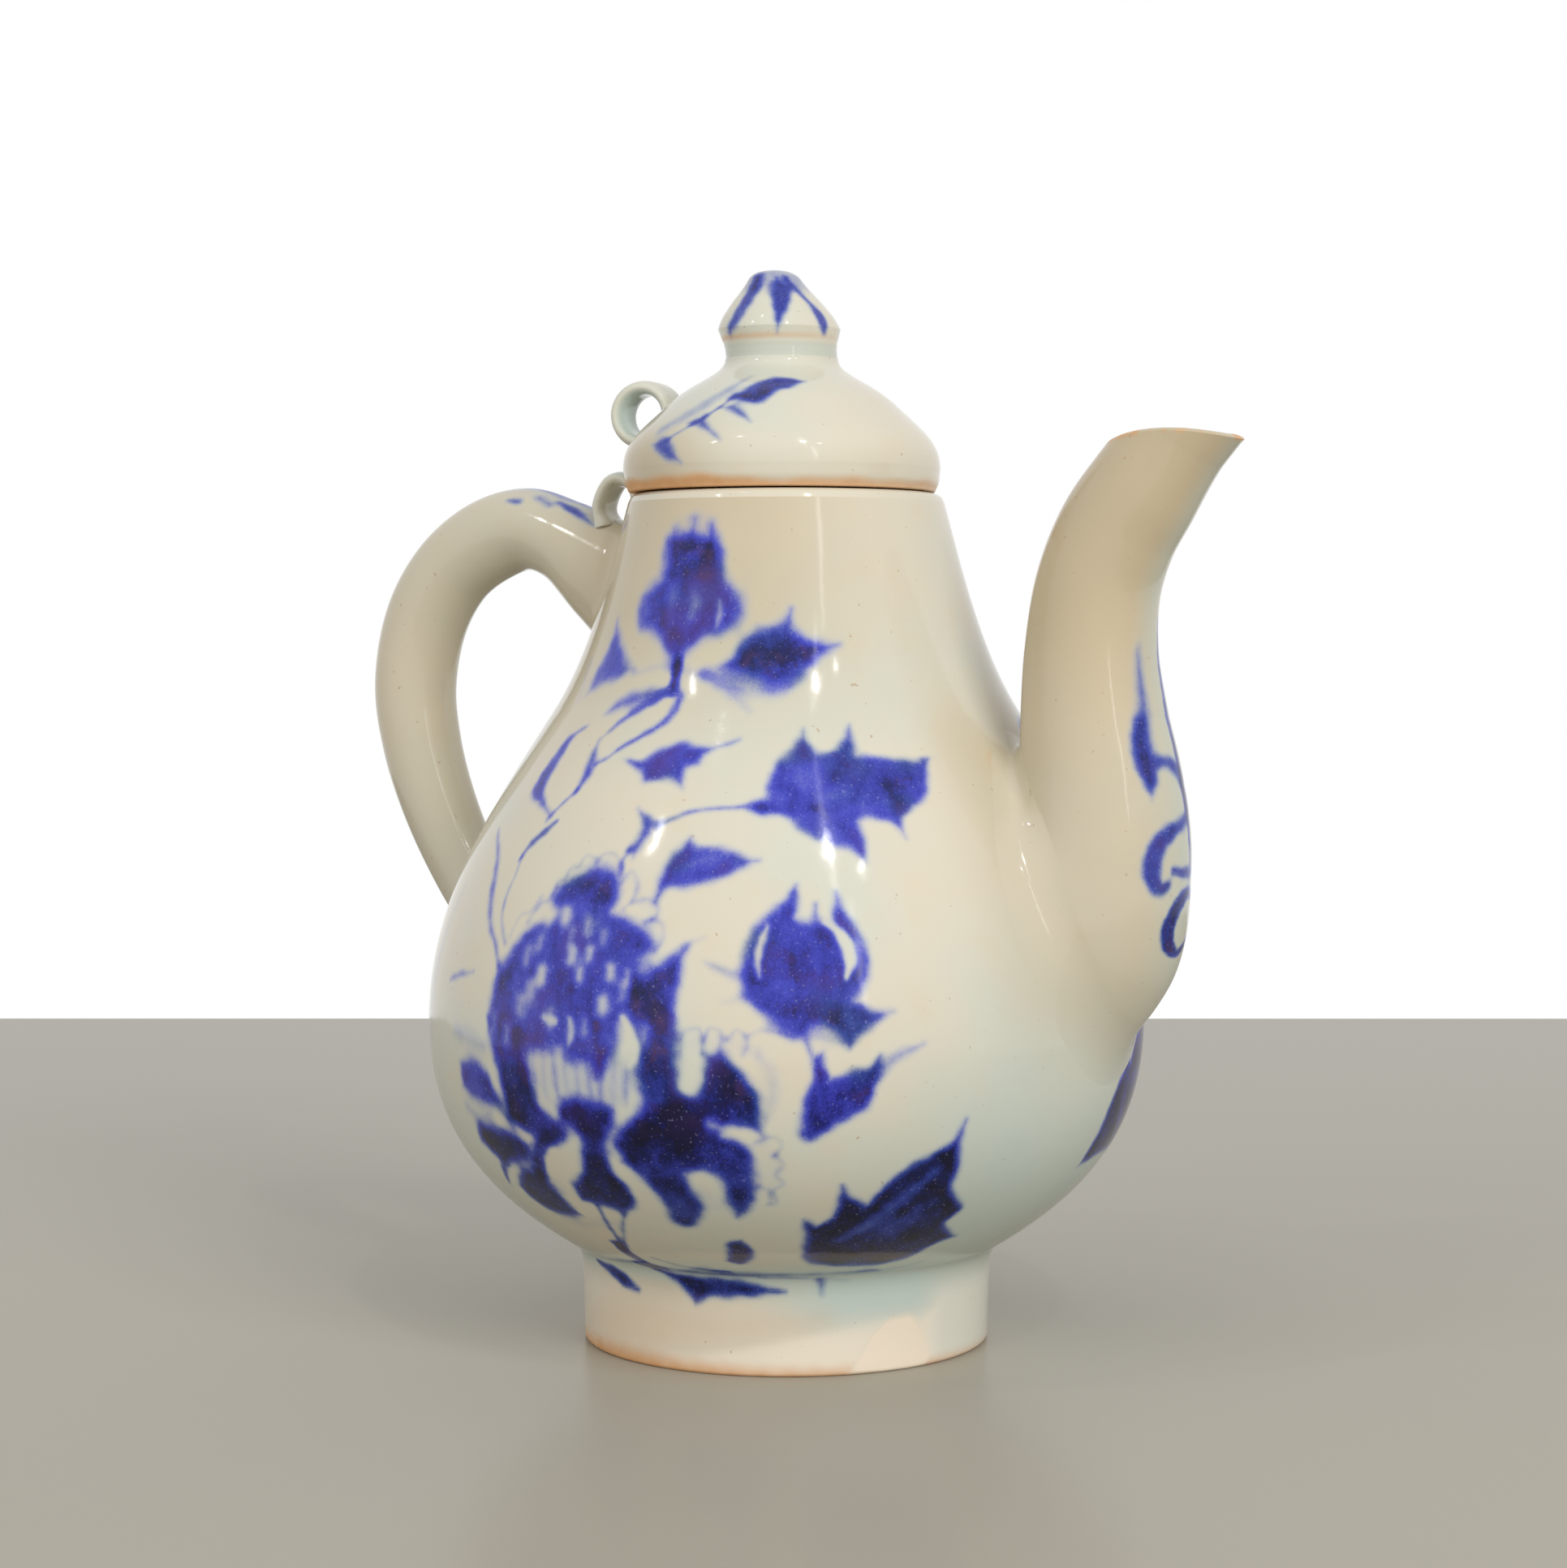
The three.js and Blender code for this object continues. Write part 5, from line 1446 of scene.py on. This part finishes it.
def lid_loop_grid():
    z = np.interp(-LID_LOOP_PLACE, -LID_SIDE[14:, 0], LID_SIDE[14:, 1])
    slope = atan2(LID_HAUNCH_HEIGHT - LID_BULGE_HEIGHT, LID_RADIUS - LID_HAUNCH_RADIUS)
    centre = np.array([-LID_LOOP_PLACE - LID_LOOP_REACH * sin(slope), z + LID_LOOP_REACH * cos(slope)])
    angle = np.radians(np.linspace(LID_LOOP_START, LID_LOOP_END, 12))
    places = centre + LID_LOOP_RADIUS * np.stack([np.cos(angle), np.sin(angle)], 1)
    return strap(places, LID_LOOP_THICKNESS, LID_LOOP_WIDTH, LID_LOOP_TURN, -LID_LOOP_PLACE, (0.3, 0.3))


# Materials
def srgb(red, green, blue):
    """Colour of a screen, 0 to 255, as the light that it stands for."""
    shares = (channel / 255 for channel in (red, green, blue))
    return (*(c / 12.92 if c < 0.04045 else ((c + 0.055) / 1.055) ** 2.4 for c in shares), 1.0)


SOCKETS = {
    "colour": "Base Color",
    "roughness": "Roughness",
    "specular": "Specular IOR Level",
    "normal": "Normal",
}


class Nodes:
    """Node tree built up from calls that take sockets or plain values."""

    def __init__(self, tree):
        self.tree = tree

    def node(self, kind, inputs=(), **settings):
        made = self.tree.nodes.new(kind)
        for key, value in settings.items():
            setattr(made, key, value)
        for key, value in dict(inputs).items():
            self.put(made.inputs[key], value)
        return made

    def put(self, socket, value):
        if isinstance(value, bpy.types.NodeSocket):
            self.tree.links.new(value, socket)
        else:
            socket.default_value = value

    def math(self, operation, *values):
        return self.node("ShaderNodeMath", enumerate(values), operation=operation).outputs[0]


class Shading(Nodes):
    """Material on a Principled shader, on places in the piece's own space."""

    def __init__(self, name):
        self.material = bpy.data.materials.new(name)
        self.material.use_nodes = True
        super().__init__(self.material.node_tree)
        self.shader = self.tree.nodes["Principled BSDF"]

    def surface(self, **values):
        for name, value in values.items():
            self.put(self.shader.inputs[SOCKETS[name]], value)

    def blend(self, share, below, above):
        inputs = {0: share, 6: below, 7: above}
        return self.node("ShaderNodeMix", inputs, data_type="RGBA").outputs[2]

    def between(self, share, low, high):
        return self.node("ShaderNodeMix", {0: share, 2: low, 3: high}, data_type="FLOAT").outputs[0]

    def step(self, value, low, high):
        inputs = {"Value": value, "From Min": low, "From Max": high}
        return self.node("ShaderNodeMapRange", inputs, interpolation_type="SMOOTHSTEP").outputs[0]

    def noise(self, cell, detail=2.0, upright=1.0):
        """Noise in cells of so many millimetres, and so many times taller than wide."""
        stretch = {0: self.places, 1: (1, 1, 1 / upright)}
        places = self.node("ShaderNodeVectorMath", stretch, operation="MULTIPLY")
        inputs = {"Vector": places.outputs[0], "Scale": 1 / (cell * MM), "Detail": detail}
        return self.node("ShaderNodeTexNoise", inputs).outputs["Fac"]

    def bump(self, strength, waves):
        inputs = {"Strength": strength, "Distance": BUMP_HEIGHT, "Height": waves}
        return self.node("ShaderNodeBump", inputs).outputs[0]

    def mark(self, name):
        return self.node("ShaderNodeAttribute", attribute_name=name).outputs["Fac"]

    def ink(self, depth, colours):
        made = self.node("ShaderNodeValToRGB", {"Fac": depth})
        elements = made.color_ramp.elements
        while len(elements) < len(colours):
            elements.new(0.5)
        for element, position, colour in zip(elements, INK_DEPTHS, colours):
            element.position = position
            element.color = colour
        return made.outputs["Color"]

    @property
    def places(self):
        return self.node("ShaderNodeTexCoord").outputs["Object"]


INK_DEPTHS = (0.0, 0.25, 0.48, 0.66, 0.76, 0.87, 1.0)
VIOLET_INK = (
    srgb(176, 186, 204), srgb(134, 148, 200), srgb(88, 98, 192), srgb(62, 68, 182), srgb(46, 50, 160),
    srgb(20, 22, 100), srgb(6, 8, 50),
)
INDIGO_INK = (
    srgb(172, 188, 194), srgb(124, 148, 180), srgb(74, 96, 160), srgb(46, 66, 146), srgb(30, 46, 126),
    srgb(10, 22, 80), srgb(4, 8, 40),
)
GLAZE = srgb(215, 207, 187), srgb(207, 207, 192)
WARM_CLOUD = srgb(220, 198, 164)
# Stained glaze, also used for the painted shade round the spout's root
STAIN_AND_PAINTED_SHADE = srgb(187, 173, 143), srgb(200, 182, 150)
# White glaze, also used for the painted light on the foot's right side
WHITE_AND_PAINTED_LIGHT = srgb(248, 234, 212), srgb(244, 232, 214)
SPECK = srgb(168, 122, 78)
# Pooled glaze, also used for painted shade low on the belly and painted light on the foot's right side
TEAL_POOL_AND_PAINTED_LIGHT = srgb(186, 205, 200)
VIOLET_CLOUD = srgb(84, 54, 132)
RUST = srgb(104, 62, 92)
BUBBLE = srgb(170, 172, 220)
BARE = srgb(204, 142, 84), srgb(224, 180, 132)
BISCUIT = srgb(206, 160, 116), srgb(222, 186, 146)
TABLE = srgb(174, 168, 154)
GLOSSY, MATT = 0.1, 0.6
GLAZE_SPECULAR = 0.36
BUMP_HEIGHT = 0.1 * MM
ALL_INK = 0.66  # depth of cobalt from which nothing of the glaze shows


def clouded_glaze(s):
    """Glaze with its clouds and specks, and with its stained, white and pooled places, which carry painted
    shade and painted light too.
    """
    glaze = s.blend(s.step(s.noise(34), 0.38, 0.64), *GLAZE)
    glaze = s.blend(s.math("MULTIPLY", s.step(s.noise(7, 4), 0.5, 0.75), 0.2), glaze, WARM_CLOUD)
    glaze = s.blend(s.mark("stain"), glaze, s.blend(s.noise(12, 4), *STAIN_AND_PAINTED_SHADE))
    glaze = s.blend(s.mark("pale_and_painted_light"), glaze, s.blend(s.noise(12, 3), *WHITE_AND_PAINTED_LIGHT))
    glaze = s.blend(s.math("MULTIPLY", s.step(s.noise(1.1), 0.72, 0.78), 0.5), glaze, SPECK)
    return s.blend(s.math("MULTIPLY", s.mark("pool"), 0.8), glaze, TEAL_POOL_AND_PAINTED_LIGHT)


def uneven_cobalt(s):
    """Depth of the cobalt, made uneven by mottles, brush strokes and grain."""
    uneven = 1.0
    mottle, strokes, grain = s.noise(4.5, 3), s.noise(1.8, 2, upright=4), s.noise(0.4)
    for noise, strength in ((mottle, 0.62), (strokes, 0.22), (grain, 0.3)):
        uneven = s.math("MULTIPLY_ADD", s.math("SUBTRACT", noise, 0.5), strength, uneven)
    return s.math("MULTIPLY", s.mark("cobalt"), uneven)


def porcelain(name, indigo=0.0):
    """Glaze over cobalt painting, with a least share of the duller blue."""
    s = Shading(name)
    depth = uneven_cobalt(s)
    height = s.node("ShaderNodeSeparateXYZ", {0: s.places}).outputs[2]
    low, high = s.step(height, 54 * MM, 24 * MM), s.step(height, 38 * MM, 56 * MM)
    share = s.math("MAXIMUM", s.math("MAXIMUM", low, indigo), s.step(s.noise(13), 0.5, 0.68))
    ink = s.blend(share, s.ink(depth, VIOLET_INK), s.ink(depth, INDIGO_INK))
    deep = s.math("MULTIPLY", high, s.step(depth, 0.4, 0.7))
    deepest = s.math("MULTIPLY", high, s.step(depth, 0.7, 0.9))
    for cloud, where, strength, colour in (
        (s.step(s.noise(9, 3), 0.52, 0.7), deep, 0.42, VIOLET_CLOUD),
        (s.step(s.noise(3.4, 3), 0.5, 0.7), deepest, 0.3, RUST),
        (s.step(s.noise(0.5), 0.64, 0.72), s.step(depth, 0.3, 0.6), 0.22, BUBBLE),
    ):
        ink = s.blend(s.math("MULTIPLY", s.math("MULTIPLY", cloud, where), strength), ink, colour)
    bare = s.mark("clay")
    painted = s.blend(s.step(depth, 0.0, ALL_INK), clouded_glaze(s), ink)
    waves = s.math("ADD", s.math("MULTIPLY", s.noise(9), 1.6), s.math("MULTIPLY", s.noise(1.8), 0.3))
    s.surface(
        colour=s.blend(bare, painted, s.blend(s.noise(3, 3), *BARE)),
        roughness=s.between(bare, GLOSSY, MATT),
        specular=GLAZE_SPECULAR,
        normal=s.bump(0.35, waves),
    )
    return s.material


def biscuit():
    s = Shading("bare_porcelain")
    s.surface(colour=s.blend(s.noise(4, 3), *BISCUIT), roughness=MATT, normal=s.bump(0.4, s.noise(0.8, 3)))
    return s.material


body = make_body()
foot = make_foot()
spout = make_spout()
handle = make_handle()
neck_loop = make_loop("porcelain_neck_loop", neck_loop_grid(), inside=-1)
lid = make_lid()
flange = make_flange()
knob = make_knob()
lid_loop = make_loop("porcelain_lid_loop", lid_loop_grid(), inside=1, shift=LID_SHIFT)
painted = porcelain("painted_porcelain")
plain = porcelain("porcelain", indigo=0.65)
bare_clay = biscuit()
PIECES = (
    (body, "body", "pot", "body_glaze", painted),
    (foot, "foot_ring", "pot", "foot_glaze", plain),
    (spout, "spout", "pot", "spout_glaze", plain),
    (handle, "handle", "pot", "handle_glaze", plain),
    (neck_loop, "neck_loop", "pot", "loop_glaze", plain),
    (lid, "lid", "lid", "lid_glaze", plain),
    (flange, "lid_flange", "lid", "bare_porcelain", bare_clay),
    (knob, "knob", "lid", "knob_glaze", plain),
    (lid_loop, "lid_loop", "lid", "loop_glaze", plain),
)
for made, node, rides_on, slot, material in PIECES:
    made.data.materials.append(material)
    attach(made, rides_on)
    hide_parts(node)

# Floor
FLOOR_REACH = 456.0  # from the pot's axis to the edge behind it
CAMERA_YAW = radians(30)
floor_mesh = bpy.data.meshes.new("floor")
corners = ((-1, -1), (1, -1), (1, 1), (-1, 1))
edge = FLOOR_REACH * MM
floor_mesh.from_pydata([(edge * across, edge * ahead, 0) for across, ahead in corners], [], [(0, 1, 2, 3)])
floor = bpy.data.objects.new("floor", floor_mesh)
floor.location = (AXIS_X * MM, 0, 0)
floor.rotation_euler = (0, 0, CAMERA_YAW)
bpy.context.scene.collection.objects.link(floor)
table = Shading("floor")
table.surface(colour=TABLE, roughness=0.24, specular=0.03)
floor.data.materials.append(table.material)

# Studio: white all round for the eye and for reflections, softer as light
WORLD_LIGHT = 0.5
world = bpy.data.worlds.new("studio")
world.use_nodes = True
bpy.context.scene.world = world
studio = Nodes(world.node_tree)
path = studio.node("ShaderNodeLightPath").outputs
seen = studio.math("MAXIMUM", path["Is Camera Ray"], path["Is Transmission Ray"])
mirrored = studio.math("MAXIMUM", seen, path["Is Glossy Ray"])
strength = studio.node("ShaderNodeMapRange", {"Value": mirrored, "To Min": WORLD_LIGHT, "To Max": 1.0})
background = world.node_tree.nodes["Background"]
studio.put(background.inputs["Color"], (1, 1, 1, 1))
studio.put(background.inputs["Strength"], strength.outputs[0])


# Lamps
SOFT_DISTANCE = 1.3  # metres
GLINT_DISTANCE = 1.4


def lamp(name, azimuth, elevation, width, height, power, distance=GLINT_DISTANCE, mirrored=True):
    """Oval lamp that looks at the pot from a direction in degrees. Sizes are in metres, power in watts."""
    a, e = radians(azimuth), radians(elevation)
    data = bpy.data.lights.new(name, "AREA")
    data.shape, data.size, data.size_y, data.energy = "ELLIPSE", width, height, power
    made = bpy.data.objects.new(name, data)
    away = Vector((cos(a) * cos(e), sin(a) * cos(e), sin(e)))
    made.location = Vector((AXIS_X * MM, 0, BELLY_HEIGHT * MM)) + away * distance
    made.rotation_mode = "QUATERNION"
    made.rotation_quaternion = away.to_track_quat("Z", "Y")
    made.visible_glossy = mirrored
    bpy.context.scene.collection.objects.link(made)


lamp("key", -28, 24, 0.7, 0.7, 8.0, SOFT_DISTANCE, mirrored=False)
lamp("fill", -108, 20, 0.7, 0.7, 3.4, SOFT_DISTANCE, mirrored=False)
lamp("strip_right", -41, 50, 0.035, 0.6, 0.4)
lamp("spot_right", -41, 51, 0.05, 0.12, 0.9)
lamp("spot_left", -121, 46, 0.035, 0.14, 0.6)
lamp("spot_side", -28, 46, 0.03, 0.05, 0.2)
lamp("spot_top", -107, 61, 0.03, 0.06, 0.2)
lamp("strip_low", -36, 24, 0.04, 0.8, 0.6)

# Camera
PHOTO_WIDTH = 1931  # pixels
FOCAL_PIXELS = 3973.0
AXIS_PIXEL = 969.0  # where the pot's axis lies across the photograph
CAMERA_DISTANCE = 544.0
CAMERA_HEIGHT = 117.5
CAMERA_PITCH = radians(2.54)
SENSOR = 36.0

camera_data = bpy.data.cameras.new("camera")
camera_data.sensor_width = SENSOR
camera_data.sensor_fit = "HORIZONTAL"
camera_data.lens = FOCAL_PIXELS * SENSOR / PHOTO_WIDTH
camera = bpy.data.objects.new("camera", camera_data)
place = Vector((sin(CAMERA_YAW), -cos(CAMERA_YAW), 0)) * CAMERA_DISTANCE + Vector((AXIS_X, 0, CAMERA_HEIGHT))
camera.location = place * MM
aim = CAMERA_YAW + atan((AXIS_PIXEL - PHOTO_WIDTH / 2) / FOCAL_PIXELS)
camera.rotation_euler = (pi / 2 - CAMERA_PITCH, 0, aim)
bpy.context.scene.collection.objects.link(camera)
bpy.context.scene.camera = camera
bpy.context.scene.view_settings.view_transform = "Standard"
